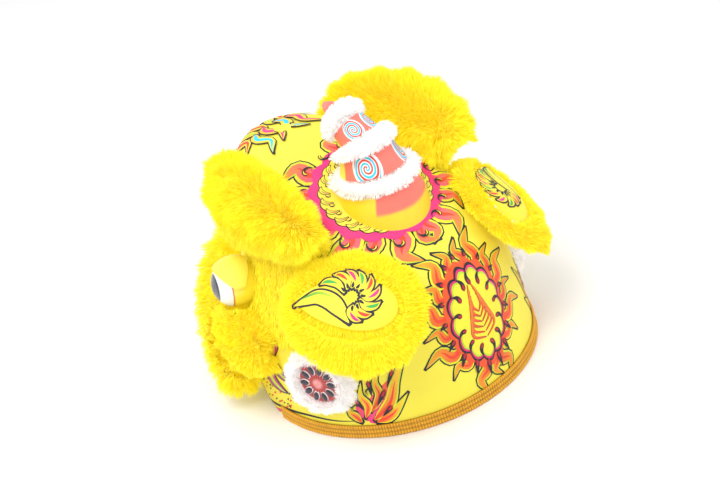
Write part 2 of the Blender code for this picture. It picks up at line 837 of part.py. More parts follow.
def crown_height(y):
    """Height of the shell's middle line above a place along Y."""
    top = len(SHELL_ROWS) - 1.0
    low, high = 0.0, top
    for _ in range(40):
        middle = (low + high) / 2
        if shell_point(0.0, middle).y > y:
            low = middle
        else:
            high = middle
    return shell_point(0.0, (low + high) / 2).z


for old in list(bpy.data.objects):
    bpy.data.objects.remove(old, do_unlink=True)

HORN_FOOT = crown_height(HORN_BASE_Y)

make_shell()
SEAT = make_seat()
make_band()

for part_name in HORN_ROWS:
    horn_piece(part_name, "white" if "trim" in part_name else "coral")

brow = make_brow()
ear, ear_fur, ear_hinge, ear_axis, ear_rooms = make_ear()
eye, lid, lid_centre, lid_axis = make_eye()
gill_fur, gill_disc = make_gill()

cheek_point, cheek_forward, cheek_up, cheek_out = shell_frame(CHEEK_ANGLE, CHEEK_LEVEL)
cheek = blob(
    "cheek_left",
    cheek_point + cheek_out * CHEEK_THICKNESS * 0.25,
    (cheek_forward, cheek_up, cheek_out),
    (CHEEK_LENGTH / 2, CHEEK_HEIGHT / 2, CHEEK_THICKNESS / 2),
    "yellow",
    9,
    14,
    PILE,
)

nose_point, nose_side, nose_up, nose_out = shell_frame(math.pi, NOSE_LEVEL)
nose = blob(
    "nose",
    nose_point + nose_out * NOSE_DEPTH * 0.2,
    (nose_side, nose_up, nose_out),
    (NOSE_WIDTH / 2, NOSE_HEIGHT / 2, NOSE_DEPTH / 2),
    "coral",
    8,
    14,
)

lip = make_lip()
jaw, jaw_fur, tongue = make_jaw()

left_pieces = (brow, ear, ear_fur, eye, lid, gill_fur, gill_disc, cheek)
right_pieces = {piece.name: mirrored(piece, piece.name.replace("_left", "_right")) for piece in left_pieces}

seated = [nose, lip]
seated += [bpy.data.objects[name] for name in ("horn_lower", "horn_trim_lower", "horn_middle")]
for piece in (brow, eye, gill_fur, gill_disc, cheek, ear_fur):
    seated += [piece, right_pieces[piece.name]]
for piece in seated:
    cut(piece, SEAT)

room = EYE_RADIUS + LID_WALL + 2 * MOVING_GAP
upright = (Vector((1, 0, 0)), Vector((0, 1, 0)), Vector((0, 0, 1)))
eye_room = helper(blob("room_eye_left", lid_centre, upright, (room,) * 3, "lid", 12, 20))
eye_room_right = helper(mirrored(eye_room, "room_eye_right"))
for piece in (brow, cheek):
    cut(piece, eye_room)
    cut(right_pieces[piece.name], eye_room_right)
cheek_room = helper(
    blob(
        "room_cheek_left",
        cheek_point + cheek_out * CHEEK_THICKNESS * 0.25,
        (cheek_forward, cheek_up, cheek_out),
        [size / 2 + PILE * 1.2 for size in (CHEEK_LENGTH, CHEEK_HEIGHT, CHEEK_THICKNESS)],
        "yellow",
        12,
        20,
    )
)
for ear_room in ear_rooms:
    cut(brow, ear_room)
    cut(right_pieces["brow_left"], helper(mirrored(ear_room, ear_room.name.replace("left", "right"))))
cut(lip, cheek_room)
cut(lip, helper(mirrored(cheek_room, "room_cheek_right")))
for piece in seated:
    settle(piece)
settle(jaw_fur)

def turned_over(axis):
    """The same turn about an axis on the other side of the middle plane."""
    return Vector((axis.x, -axis.y, -axis.z))


flip = Vector((-1, 1, 1))
hinge("hinge_ear_left", ear_hinge, ear_axis, ear, ear_fur)
hinge("hinge_eyelid_left", lid_centre, lid_axis, lid)
right_ear = (right_pieces["ear_left"], right_pieces["ear_fur_left"])
hinge("hinge_ear_right", ear_hinge * flip, turned_over(ear_axis), *right_ear)
hinge("hinge_eyelid_right", lid_centre * flip, turned_over(lid_axis), right_pieces["eyelid_left"])
hinge("hinge_jaw", Vector((0, JAW_HINGE_Y, JAW_LEVEL)), Vector((-1, 0, 0)), jaw, jaw_fur, tongue)
set_down()
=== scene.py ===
"""Finish of a southern style lion dance head: painted shell, braid, horn, ears, eyes and long fur.

Lengths are in metres. The lion faces -Y, its left side is +X and +Z is up.
"""

import math
import re

import bmesh
import bpy
import numpy as np
from mathutils import Matrix, Vector


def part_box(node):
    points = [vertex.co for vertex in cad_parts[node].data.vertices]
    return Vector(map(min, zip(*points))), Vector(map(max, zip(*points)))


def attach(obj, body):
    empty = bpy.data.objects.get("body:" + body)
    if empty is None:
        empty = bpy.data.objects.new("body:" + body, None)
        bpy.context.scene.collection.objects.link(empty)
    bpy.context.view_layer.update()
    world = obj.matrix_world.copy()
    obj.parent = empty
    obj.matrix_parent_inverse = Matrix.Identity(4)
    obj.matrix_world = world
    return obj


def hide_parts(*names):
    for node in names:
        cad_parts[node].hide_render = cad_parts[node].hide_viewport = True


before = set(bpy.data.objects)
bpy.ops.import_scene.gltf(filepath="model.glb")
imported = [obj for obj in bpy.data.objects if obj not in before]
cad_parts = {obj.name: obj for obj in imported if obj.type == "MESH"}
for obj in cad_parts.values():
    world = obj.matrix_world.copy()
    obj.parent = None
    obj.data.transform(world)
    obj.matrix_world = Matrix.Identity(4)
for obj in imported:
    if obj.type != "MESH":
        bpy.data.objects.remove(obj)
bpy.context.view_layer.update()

bl_info = {
    "name": "Lion Dance Head",
    "version": (1, 0, 0),
    "blender": (4, 5, 0),
    "location": "View3D > Sidebar > Lion Head",
    "description": "Painted shell, braid, horn, ears, eyes and fur of a lion dance head",
    "category": "Object",
}

# The shell, as in the solids. height: share of SHELL_HEIGHT. half and rear: shares of RIM_RADIUS.
# front: share of FACE_DEPTH. round: 2 is an ellipse.
RIM_RADIUS = 0.250
SHELL_HEIGHT = 0.435
FACE_DEPTH = 0.300
SHELL_WALL = 0.003
MOUTH_HEIGHT = 0.165
MOUTH_HALF_ANGLE = math.radians(76.0)
SHELL_MIDDLE_Y = 0.05863
SHELL_ROWS = (
    # height, half, rear, front, round
    (0.000, 1.000, 1.000, 0.950, 2.00),
    (0.110, 0.992, 0.984, 0.965, 2.00),
    (0.230, 0.976, 0.956, 0.985, 1.95),
    (0.345, 0.952, 0.932, 1.000, 1.90),
    (0.450, 0.920, 0.900, 0.990, 1.80),
    (0.540, 0.876, 0.842, 0.950, 1.75),
    (0.615, 0.818, 0.752, 0.910, 1.78),
    (0.680, 0.752, 0.620, 0.890, 1.85),
    (0.745, 0.680, 0.450, 0.880, 1.92),
    (0.820, 0.592, 0.215, 0.872, 2.00),
    (0.895, 0.490, -0.040, 0.852, 2.00),
    (0.950, 0.380, -0.240, 0.815, 2.00),
    (0.986, 0.230, -0.400, 0.750, 2.00),
    (1.000, 0.004, -0.640, 0.537, 2.00),
)
TOP_LEVEL = len(SHELL_ROWS) - 1.0

# The horn's tiers. reach: share of HORN_REACH forward. rise: share of HORN_RISE.
# radius: share of HORN_RADIUS. lean: degrees forward.
HORN_BASE_Y = 0.058
HORN_RISE = 0.148
HORN_RADIUS = 0.078
HORN_REACH = 0.100
HORN_ROWS = {
    "horn_lower": ((0.000, -0.400, 1.080, 0.0), (0.000, -0.050, 1.000, 0.0), (-0.010, 0.145, 0.880, 0.0)),
    "horn_middle": ((-0.005, 0.320, 0.740, 4.0), (0.030, 0.430, 0.660, 7.0), (0.070, 0.530, 0.600, 12.0)),
    "horn_upper": ((0.160, 0.671, 0.460, 30.0), (0.370, 0.785, 0.400, 48.0)),
    "horn_tip": ((0.625, 0.929, 0.200, 58.0), (0.740, 0.975, 0.160, 62.0), (0.860, 1.010, 0.060, 66.0)),
}

EAR_LENGTH = 0.166
EAR_WIDTH = 0.104
EAR_BOARD = 0.005
EAR_BEND = 0.0103
EAR_FUR_THICKNESS = 0.034
EAR_STAND_OFF = 0.034
EAR_ANGLE = math.radians(52.0)
EAR_LEVEL = 5.35
EAR_FACING = (0.52, 0.47, 0.71)
EAR_POINTING = (-0.467, 0.876, -0.117)

EYE_RADIUS = 0.043
EYE_STAND_OFF = 0.025
EYE_ANGLE = math.radians(116.0)
EYE_LEVEL = 5.0
LID_GAP = 0.0025
LID_WALL = 0.003

GILL_DISC = 0.076
GILL_DISC_THICKNESS = 0.009
GILL_ANGLE = math.radians(73.5)
GILL_LEVEL = 2.20

# The camera, in the place that the view was taken from, and the picture's pixels through it.
CAMERA_PLACE = np.array([1.40894, 1.86199, 1.48500])
VIEW_AHEAD = np.array([-0.64390, -0.37102, -0.66913])
VIEW_UP = np.array([-0.57977, -0.33407, 0.74314])
VIEW_RIGHT = np.array([-0.49926, 0.86645, 0.0])
VIEW_PIXELS = 700.0
VIEW_MIDDLE = np.array([360.0, 239.0])

MIRROR = np.array([-1.0, 1.0, 1.0])

BRAID_HALF_ANGLE = math.radians(101.0)
BRAID_HEIGHT = 0.024

# How many strands each pile has, and the length, beyond its root, that is hidden in the solid.
STRANDS = {
    # piece: count, inset
    "brow_hair": (35000, 0.015),
    "cheek_hair": (16000, 0.014),
    "ear_hair": (20500, 0.009),
    "gill_hair": (7000, 0.006),
    "temple_hair": (13000, 0),
    "lip_hair": (26000, 0.012),
    "jaw_hair": (7000, 0.007),
    "horn_trim_hair": (7000, 0.005),
}


# ---- numbers and meshes


def unit(vectors):
    """Vectors divided by their own length."""
    vectors = np.asarray(vectors, float)
    return vectors / np.maximum(np.linalg.norm(vectors, axis=-1, keepdims=True), 1e-12)


def cubic_rows(rows, at):
    """A table's values at fractional rows: a cubic with central slopes through each column."""
    table = np.array(rows, float)
    at = np.clip(np.asarray(at, float), 0.0, len(table) - 1.0)
    low = np.minimum(at.astype(int), len(table) - 2)
    part = (at - low)[..., None]
    slope = np.gradient(table, axis=0)
    start = (2 * part**3 - 3 * part**2 + 1) * table[low] + (part**3 - 2 * part**2 + part) * slope[low]
    end = (3 * part**2 - 2 * part**3) * table[low + 1] + (part**3 - part**2) * slope[low + 1]
    return start + end


def shell_at(angle, level):
    """Points of the shell: an oval through each row's half width, rear and front, at the row's height."""
    angle, level = np.broadcast_arrays(np.asarray(angle, float), np.asarray(level, float))
    height, half, rear, front, curve = np.moveaxis(cubic_rows(SHELL_ROWS, level), -1, 0)
    half = np.maximum(half * RIM_RADIUS, 0.0005)
    rear = rear * RIM_RADIUS
    front = -front * FACE_DEPTH
    limit = 0.6 * RIM_RADIUS
    middle = np.where(rear > limit, 0.0, (rear + front) / 2 * (1 - np.maximum(rear, 0) / limit))
    across, along = np.sin(angle), np.cos(angle)
    power = np.where(along > 0, 2.0, curve)
    scale = (np.abs(across) ** power + np.abs(along) ** power) ** (-1 / power)
    reach = np.where(along > 0, rear - middle, middle - front)
    y = middle + reach * along * scale + SHELL_MIDDLE_Y
    return np.stack([half * across * scale, y, height * SHELL_HEIGHT], -1)


def shell_normal(angle, level):
    """Outward normals: the cross product of the slopes round and up the shell."""
    level = np.asarray(level, float)
    low, high = np.maximum(level - 0.05, 0), np.minimum(level + 0.05, TOP_LEVEL - 0.3)
    level = np.minimum(level, TOP_LEVEL - 0.35)
    around = shell_at(angle + 0.01, level) - shell_at(angle - 0.01, level)
    return -unit(np.cross(around, shell_at(angle, high) - shell_at(angle, low)))


LEVELS = np.linspace(0.0, TOP_LEVEL, 1301)
HEIGHTS = shell_at(np.zeros(1301), LEVELS)[:, 2]


def level_at(height):
    """The level whose ring lies at a height."""
    return np.interp(height, HEIGHTS, LEVELS)


def mouth_edge(angle):
    """Height of the lower edge: the rim behind and a sine arch over the mouth."""
    share = np.clip(1 - np.abs(np.pi - np.mod(angle, 2 * np.pi)) / MOUTH_HALF_ANGLE, 0, 1)
    return MOUTH_HEIGHT * np.sin(share * np.pi / 2) ** 1.3


def shell_frame(angle, level):
    """One point of the shell with its directions: forward, up and out."""
    point, out = shell_at(angle, level), shell_normal(angle, level)
    forward = unit(shell_at(angle + 0.02, level) - shell_at(angle - 0.02, level))
    up = unit(np.cross(out, forward))
    return point, forward, up if up[2] > 0 else -up, out


def make_mesh(name, points, quads, tris=None, along=None, paint=None, merge=0.0, sharp=None):
    """A mesh object from whole arrays: corners, faces, a UV pair and a colour for each corner."""
    points = np.asarray(points, np.float32).reshape(-1, 3)
    quads = np.asarray(quads, np.int32).reshape(-1, 4)
    tris = np.zeros((0, 3), np.int32) if tris is None else np.asarray(tris, np.int32).reshape(-1, 3)
    loops = np.concatenate([quads.ravel(), tris.ravel()])
    starts = np.concatenate([np.arange(len(quads)) * 4, len(quads) * 4 + np.arange(len(tris)) * 3])
    mesh = bpy.data.meshes.new(name)
    mesh.vertices.add(len(points))
    mesh.vertices.foreach_set("co", points.ravel())
    mesh.loops.add(len(loops))
    mesh.loops.foreach_set("vertex_index", loops)
    mesh.polygons.add(len(starts))
    mesh.polygons.foreach_set("loop_start", starts.astype(np.int32))
    if along is not None:
        layer = mesh.uv_layers.new(name="along")
        layer.data.foreach_set("uv", np.asarray(along, np.float32).reshape(-1, 2)[loops].ravel())
    if paint is not None:
        made = mesh.color_attributes.new(name="paint", type="FLOAT_COLOR", domain="POINT")
        colour = np.ones((len(points), 4), np.float32)
        colour[:, :3] = np.asarray(paint, np.float32).reshape(-1, 3)
        made.data.foreach_set("color", colour.ravel())
    mesh.update(calc_edges=True)
    mesh.validate()
    if merge:
        body = bmesh.new()
        body.from_mesh(mesh)
        bmesh.ops.remove_doubles(body, verts=body.verts, dist=merge)
        bmesh.ops.dissolve_degenerate(body, edges=body.edges, dist=merge / 10)
        bmesh.ops.recalc_face_normals(body, faces=body.faces)
        body.to_mesh(mesh)
        body.free()
    mesh.shade_smooth()
    if sharp:
        mesh.set_sharp_from_angle(angle=math.radians(sharp))
    made = bpy.data.objects.new(name, mesh)
    bpy.context.scene.collection.objects.link(made)
    return made


def grid_faces(rows, columns, wrap_rows=False, wrap_columns=False, first=0):
    """Four cornered faces of a grid of points, counted row by row."""
    r = np.arange(rows if wrap_rows else rows - 1)[:, None]
    c = np.arange(columns if wrap_columns else columns - 1)[None, :]
    after, there = (c + 1) % columns, (r + 1) % rows
    faces = np.stack([r * columns + c, r * columns + after, there * columns + after, there * columns + c], -1)
    return faces.reshape(-1, 4) + first


def many_grids(points, wrap_columns=False):
    """Faces of several equal grids in one array, shaped grids by rows by columns by 3."""
    count, rows, columns = points.shape[:3]
    faces = grid_faces(rows, columns, wrap_columns=wrap_columns)
    return (faces[None] + (np.arange(count) * rows * columns)[:, None, None]).reshape(-1, 4)


def dress(made, material, body, slot=None, *nodes):
    """Gives a piece its material, the body it moves with and the solids it stands for. The slot is not used."""
    made.data.materials.clear()
    made.data.materials.append(material)
    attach(made, body)
    if nodes:
        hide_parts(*nodes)
    return made


def ellipsoids(name, centres, axes, sizes, rows=10, columns=16, paint=None):
    """Closed ellipsoids in one mesh: each centre plus its three directions times sizes on a sphere."""
    centres, axes, sizes = (np.asarray(value, float) for value in (centres, axes, sizes))
    polar = np.linspace(0, np.pi, rows)[:, None]
    turn = (np.arange(columns) * 2 * np.pi / columns)[None]
    ball = np.stack(
        [np.sin(polar) * np.cos(turn), np.sin(polar) * np.sin(turn), np.cos(polar) + 0 * turn], -1
    )
    points = centres[:, None, None] + np.einsum("rck,nk,nkx->nrcx", ball, sizes, axes)
    faces = many_grids(points, True)
    along = np.broadcast_to(
        np.stack([turn / 7 + 0 * polar, polar / np.pi + 0 * turn], -1), points.shape[:3] + (2,)
    )
    colour = None if paint is None else np.broadcast_to(np.asarray(paint)[:, None, None], points.shape)
    return make_mesh(name, points, faces, along=along, paint=colour, merge=1e-7)


# ---- painting on a surface


def flat_view(centre, across, up):
    """A view square to a surface: metres across and up from a centre, seen from outside."""
    out = np.cross(across, up)
    return (
        lambda p: np.stack([(p - centre) @ across, (p - centre) @ up], -1)
    ), (lambda p: np.broadcast_to(out, p.shape))


def picture_view():
    """The camera's view: a point's place in picture pixels."""

    def pixels(p):
        ray = p - CAMERA_PLACE
        deep = ray @ VIEW_AHEAD
        return VIEW_MIDDLE + VIEW_PIXELS * np.stack(
            [ray @ VIEW_RIGHT, -(ray @ VIEW_UP)], -1
        ) / deep[..., None]

    return pixels, lambda p: unit(CAMERA_PLACE - p)


def drape(targets, view):
    """Where flat points land on the shell: the nearest point of a coarse grid, then Newton's steps
    in angle and level until the view of the shell's point is the target. None falls below the edge."""
    project, toward = view
    flat = np.asarray(targets, float).reshape(-1, 2)
    angle, level = np.meshgrid(
        np.linspace(-np.pi, np.pi, 181)[:-1], np.linspace(0.05, 12.6, 90), indexing="ij"
    )
    angle, level = angle.ravel(), level.ravel()
    points = shell_at(angle, level)
    seen = (shell_normal(angle, level) * toward(points)).sum(-1) > 0.05
    angle, level, places = angle[seen], level[seen], project(points[seen])
    nearest = np.concatenate(
        [
            np.argmin(((part[:, None] - places[None]) ** 2).sum(-1), 1)
            for part in np.array_split(flat, max(len(flat) // 1500, 1))
        ]
    )
    a, l = angle[nearest], level[nearest]
    for _ in range(5):
        here = project(shell_at(a, l))
        da = (project(shell_at(a + 1e-4, l)) - here) / 1e-4
        dl = (project(shell_at(a, l + 1e-3)) - here) / 1e-3
        miss = flat - here
        size = da[:, 0] * dl[:, 1] - da[:, 1] * dl[:, 0]
        size = np.where(np.abs(size) < 1e-12, 1e-12, size)
        a = a + np.clip((miss[:, 0] * dl[:, 1] - miss[:, 1] * dl[:, 0]) / size, -0.05, 0.05)
        l = np.clip(l + np.clip((da[:, 0] * miss[:, 1] - da[:, 1] * miss[:, 0]) / size, -0.3, 0.3), 0, 12.9)
    l = np.maximum(l, level_at(mouth_edge(a) + 0.0015))
    shape = np.asarray(targets).shape[:-1]
    return shell_at(a, l).reshape(shape + (3,)), shell_normal(a, l).reshape(shape + (3,))


def smooth_paths(paths, steps):
    """Points along curves: a cubic with central slopes through each path's own points."""
    table = np.asarray(paths, float)
    at = np.linspace(0, table.shape[1] - 1, steps)
    low = np.minimum(at.astype(int), table.shape[1] - 2)
    part = (at - low)[None, :, None]
    slope = np.gradient(table, axis=1)
    start = (2 * part**3 - 3 * part**2 + 1) * table[:, low] + (part**3 - 2 * part**2 + part) * slope[:, low]
    end = (3 * part**2 - 2 * part**3) * table[:, low + 1] + (part**3 - part**2) * slope[:, low + 1]
    return start + end


def brush(paths, widths, belly=0.3, steps=15, blunt=0.12, grow=0.0):
    """Brush strokes in a flat view, as strips five points wide. A stroke's width swells to its belly
    and runs out to a point at the tip; grow adds an even rim outside it."""
    middle = smooth_paths(paths, steps)
    t = np.linspace(0, 1, steps)
    belly = np.broadcast_to(np.asarray(belly, float), (len(middle),))[:, None]
    rise = np.clip(t[None] / belly, 0, 1)
    fall = np.clip((1 - t[None]) / (1 - belly), 0, 1)
    profile = (blunt + (1 - blunt) * np.sin(rise * np.pi / 2)) * np.sin(fall * np.pi / 2) ** 0.9
    width = np.asarray(widths, float).reshape(-1, 1) * profile / 2 + grow
    tangent = unit(np.gradient(middle, axis=1))
    middle = middle + tangent * (grow * 1.4 * (2 * t - 1) ** 5)[None, :, None]
    side = np.stack([tangent[..., 1], -tangent[..., 0]], -1)
    across = np.linspace(-1, 1, 5)
    return middle[:, :, None] + side[:, :, None] * (width[:, :, None] * across)[..., None]


def lay(name, strips, view, lift, colour, tip=None, both=False, seed=1, surface=None):
    """Draped strokes as one thin layer of paint: lift above the surface, a little thicker in the middle."""
    points, normals = (surface or (lambda p: drape(p, view)))(strips)
    middle = (1 - np.linspace(-1, 1, points.shape[2]) ** 2)[None, None, :, None]
    points = points + normals * (lift + 0.0002 * middle)
    if both:
        points = np.concatenate([points, points * MIRROR])
        normals = np.concatenate([normals, normals * MIRROR])
    rows = points.shape[1] // 2
    turn = np.cross(points[:, rows, -1] - points[:, rows, 0], points[:, rows + 1, 2] - points[:, rows - 1, 2])
    wrong = (turn * normals[:, rows, 2]).sum(-1) < 0
    points[wrong] = points[wrong][:, :, ::-1]
    t = np.linspace(0, 1, points.shape[1])[None, :, None, None]
    tip = colour if tip is None else tip
    shade = 1 + 0.10 * np.random.default_rng(seed).uniform(-1, 1, (len(points), 1, 1, 1))
    paint = np.clip((np.array(colour) * (1 - t) + np.array(tip) * t) * shade, 0, 1)
    paint = np.broadcast_to(paint, points.shape)
    made = make_mesh(name, points, many_grids(points), paint=paint)
    return dress(made, MATERIALS["paint"], "head", "shell")


def licks(base, direction, length, sway):
    """Centre lines of flame licks: out from a base along a direction, swaying one way, then the other."""
    base, direction = np.asarray(base, float), unit(direction)
    side = np.stack([-direction[:, 1], direction[:, 0]], -1)
    length, sway = (np.asarray(value, float).reshape(-1, 1) for value in (length, sway))
    stops = ((0.0, 0.0), (0.30, 0.22), (0.62, -0.10), (1.0, 0.34))
    return np.stack([base + direction * length * out + side * sway * length * over for out, over in stops], 1)


def commas(base, heading, size, hand):
    """Centre lines of comma curls: a coil that opens as it turns three quarters round."""
    t = np.linspace(0, 1, 7)[None]
    heading, size, hand = (np.asarray(value, float).reshape(-1, 1) for value in (heading, size, hand))
    turn = heading + hand * (t * 4.0 - 0.6)
    radius = size * (0.30 + 0.75 * t**1.2)
    spot = np.stack([np.cos(turn), np.sin(turn)], -1) * radius[..., None]
    return np.asarray(base, float)[:, None] + spot - spot[:, :1]


# ---- materials


def node(tree, kind, **values):
    """A shader node with its named settings and socket values."""
    made = tree.nodes.new(kind)
    for name, value in values.items():
        if name in made.inputs:
            made.inputs[name].default_value = value
        else:
            setattr(made, name, value)
    return made


def group_of(name, sockets):
    """An empty shader node group with the named inputs and outputs."""
    tree = bpy.data.node_groups.new(name, "ShaderNodeTree")
    for title, way, kind, value in sockets:
        made = tree.interface.new_socket(name=title, in_out=way, socket_type="NodeSocket" + kind)
        if value is not None:
            made.default_value = value
    return tree, tree.nodes.new("NodeGroupInput"), tree.nodes.new("NodeGroupOutput")


def make_drift():
    """Colour that drifts between a light and a dark tone by soft noise."""
    tree, into, out = group_of(
        "colour_drift",
        (
            ("Colour", "INPUT", "Color", (0.8, 0.8, 0.8, 1)),
            ("Amount", "INPUT", "Float", 0.15),
            ("Scale", "INPUT", "Float", 12.0),
            ("Colour", "OUTPUT", "Color", None),
        ),
    )
    place = node(tree, "ShaderNodeTexCoord")
    broad = node(tree, "ShaderNodeTexNoise", Detail=4.0, Roughness=0.6)
    spread = node(tree, "ShaderNodeMapRange")
    spread.inputs["From Min"].default_value = 0.3
    spread.inputs["From Max"].default_value = 0.7
    times = node(tree, "ShaderNodeMath", operation="MULTIPLY")
    rest = node(tree, "ShaderNodeMath", operation="SUBTRACT")
    rest.inputs[0].default_value = 1.0
    dark = node(tree, "ShaderNodeVectorMath", operation="SCALE")
    tree.links.new(place.outputs["Object"], broad.inputs["Vector"])
    tree.links.new(into.outputs["Scale"], broad.inputs["Scale"])
    tree.links.new(broad.outputs["Fac"], spread.inputs["Value"])
    tree.links.new(spread.outputs["Result"], times.inputs[0])
    tree.links.new(into.outputs["Amount"], times.inputs[1])
    tree.links.new(times.outputs[0], rest.inputs[1])
    tree.links.new(into.outputs["Colour"], dark.inputs[0])
    tree.links.new(rest.outputs[0], dark.inputs["Scale"])
    tree.links.new(dark.outputs[0], out.inputs["Colour"])
    return tree


def make_weave():
    """Height of a fine plain weave: two crossed sets of threads, with the noise of hand laid paper."""
    tree, into, out = group_of(
        "cloth_weave",
        (
            ("Scale", "INPUT", "Float", 900.0),
            ("Paper", "INPUT", "Float", 0.5),
            ("Height", "OUTPUT", "Float", None),
        ),
    )
    place = node(tree, "ShaderNodeTexCoord")
    total = node(tree, "ShaderNodeMath", operation="ADD")
    for slot, way in enumerate(("X", "Z")):
        wave = node(tree, "ShaderNodeTexWave", wave_type="BANDS", bands_direction=way, Distortion=0.6)
        tree.links.new(place.outputs["Object"], wave.inputs["Vector"])
        tree.links.new(into.outputs["Scale"], wave.inputs["Scale"])
        tree.links.new(wave.outputs["Fac"], total.inputs[slot])
    rough = node(tree, "ShaderNodeTexNoise", Scale=140.0, Detail=5.0)
    times = node(tree, "ShaderNodeMath", operation="MULTIPLY")
    both = node(tree, "ShaderNodeMath", operation="ADD")
    tree.links.new(place.outputs["Object"], rough.inputs["Vector"])
    tree.links.new(rough.outputs["Fac"], times.inputs[0])
    tree.links.new(into.outputs["Paper"], times.inputs[1])
    tree.links.new(total.outputs[0], both.inputs[0])
    tree.links.new(times.outputs[0], both.inputs[1])
    tree.links.new(both.outputs[0], out.inputs["Height"])
    return tree


def make_strand_tone():
    """Colour along a strand from root to tip, darker at the root as painted shade deep in the pile and lighter at
    the tip as painted light, and a tone of its own for each strand.
    """
    tree, into, out = group_of(
        "strand_tone",
        (
            ("Root", "INPUT", "Color", (0.8, 0.8, 0.8, 1)),
            ("Middle", "INPUT", "Color", (0.8, 0.8, 0.8, 1)),
            ("Tip", "INPUT", "Color", (0.8, 0.8, 0.8, 1)),
            ("Colour", "OUTPUT", "Color", None),
        ),
    )
    along = node(tree, "ShaderNodeUVMap", uv_map="along")
    parts = node(tree, "ShaderNodeSeparateXYZ")
    tree.links.new(along.outputs["UV"], parts.inputs[0])
    below = None
    for low, high, title in ((0.0, 0.4, "Middle"), (0.4, 1.0, "Tip")):
        span = node(tree, "ShaderNodeMapRange")
        span.inputs["From Min"].default_value = low
        span.inputs["From Max"].default_value = high
        mix = node(tree, "ShaderNodeMix", data_type="RGBA")
        tree.links.new(parts.outputs["Y"], span.inputs["Value"])
        tree.links.new(span.outputs["Result"], mix.inputs["Factor"])
        tree.links.new(below or into.outputs["Root"], mix.inputs[6])
        tree.links.new(into.outputs[title], mix.inputs[7])
        below = mix.outputs[2]
    tone = node(tree, "ShaderNodeMapRange")
    tone.inputs["To Min"].default_value = 0.86
    tone.inputs["To Max"].default_value = 1.04
    times = node(tree, "ShaderNodeVectorMath", operation="SCALE")
    tree.links.new(parts.outputs["X"], tone.inputs["Value"])
    tree.links.new(below, times.inputs[0])
    tree.links.new(tone.outputs["Result"], times.inputs["Scale"])
    tree.links.new(times.outputs[0], out.inputs["Colour"])
    return tree


GROUPS = {}
MATERIALS = {}


def principled(name, **values):
    """A material with one Principled shader and constant values set on its own sockets."""
    made = bpy.data.materials.new(name)
    made.use_nodes = True
    tree = made.node_tree
    shader = tree.nodes["Principled BSDF"]
    for title, value in values.items():
        shader.inputs[title.replace("_", " ")].default_value = value
    return made, tree, shader


def put_group(tree, name, **values):
    made = node(tree, "ShaderNodeGroup")
    made.node_tree = GROUPS[name]
    for title, value in values.items():
        made.inputs[title].default_value = value
    return made


def add_relief(tree, shader, height, strength, distance):
    bump = node(tree, "ShaderNodeBump", Strength=strength, Distance=distance)
    tree.links.new(height, bump.inputs["Height"])
    tree.links.new(bump.outputs["Normal"], shader.inputs["Normal"])


def cloth(name, colour, amount=0.12, weave=900.0, paper=0.5, strength=0.25, distance=0.0004, **values):
    """Painted cloth: a drifting colour over a fine weave."""
    made, tree, shader = principled(name, **values)
    drift = put_group(tree, "colour_drift", Colour=colour + (1,), Amount=amount, Scale=14.0)
    tree.links.new(drift.outputs["Colour"], shader.inputs["Base Color"])
    height = put_group(tree, "cloth_weave", Scale=weave, Paper=paper)
    add_relief(tree, shader, height.outputs["Height"], strength, distance)
    MATERIALS[name] = made


def painted(name, amount=0.10, **values):
    """Paint whose colour is carried by the mesh, brushed over the cloth's weave."""
    made, tree, shader = principled(name, **values)
    colour = node(tree, "ShaderNodeAttribute", attribute_name="paint")
    drift = put_group(tree, "colour_drift", Amount=amount, Scale=60.0)
    tree.links.new(colour.outputs["Color"], drift.inputs["Colour"])
    tree.links.new(drift.outputs["Colour"], shader.inputs["Base Color"])
    height = put_group(tree, "cloth_weave", Scale=900.0, Paper=0.6)
    add_relief(tree, shader, height.outputs["Height"], 0.2, 0.0003)
    MATERIALS[name] = made


def hair(name, root, middle, tip, painted_glow, **values):
    """Long pile. A faint emission of the strand's own colour is painted light: it stands for light that passes
    from strand to strand and lifts the pile's shade.
    """
    made, tree, shader = principled(name, Emission_Strength=painted_glow, **values)
    tone = put_group(tree, "strand_tone", Root=root + (1,), Middle=middle + (1,), Tip=tip + (1,))
    tree.links.new(tone.outputs["Colour"], shader.inputs["Base Color"])
    tree.links.new(tone.outputs["Colour"], shader.inputs["Emission Color"])
    MATERIALS[name] = made


def make_materials():
    GROUPS["colour_drift"] = make_drift()
    GROUPS["cloth_weave"] = make_weave()
    GROUPS["strand_tone"] = make_strand_tone()
    colours = bpy.context.scene.lion_colours
    yellow, shell = tuple(colours.fur), tuple(colours.shell)
    cloth("shell_cloth", shell, 0.07, Roughness=0.62)
    cloth("lid_cloth", (1.0, 0.87, 0.10), 0.05, Roughness=0.5)
    cloth("ear_cloth", (1.0, 0.86, 0.04), 0.06, Roughness=0.6)
    cloth("red_cloth", (0.62, 0.02, 0.03), 0.15, Roughness=0.5)
    cloth("tongue_cloth", tuple(colours.coral), 0.12, Roughness=0.45)
    cloth("nose_cloth", tuple(colours.coral), 0.12, Roughness=0.38, Coat_Weight=0.2)
    painted("paint", Roughness=0.5)
    painted("horn_paint", 0.06, Roughness=0.42, Coat_Weight=0.15)
    painted("braid_gold", 0.15, Roughness=0.38, Metallic=0.1)
    painted("gloss_paint", 0.03, Roughness=0.18, Coat_Weight=0.6)
    # deep and light: a darker root and a lighter tip than the middle, painted shade deep in the pile and painted
    # light on the tips. The white fur's root and tip below do the same.
    deep = tuple(value * share for value, share in zip(yellow, (0.97, 0.86, 0.5)))
    light = (1.0, min(yellow[1] * 1.10, 1.0), yellow[2] + 0.03)
    hair("yellow_fur", deep, yellow, light, 0.15, Roughness=0.75, Sheen_Weight=0.15)
    hair(
        "white_fur", (0.90, 0.86, 0.84), (0.96, 0.94, 0.93), (1.0, 0.99, 0.98), 0.16, Roughness=0.8,
        Sheen_Weight=0.2
    )


# ---- fur


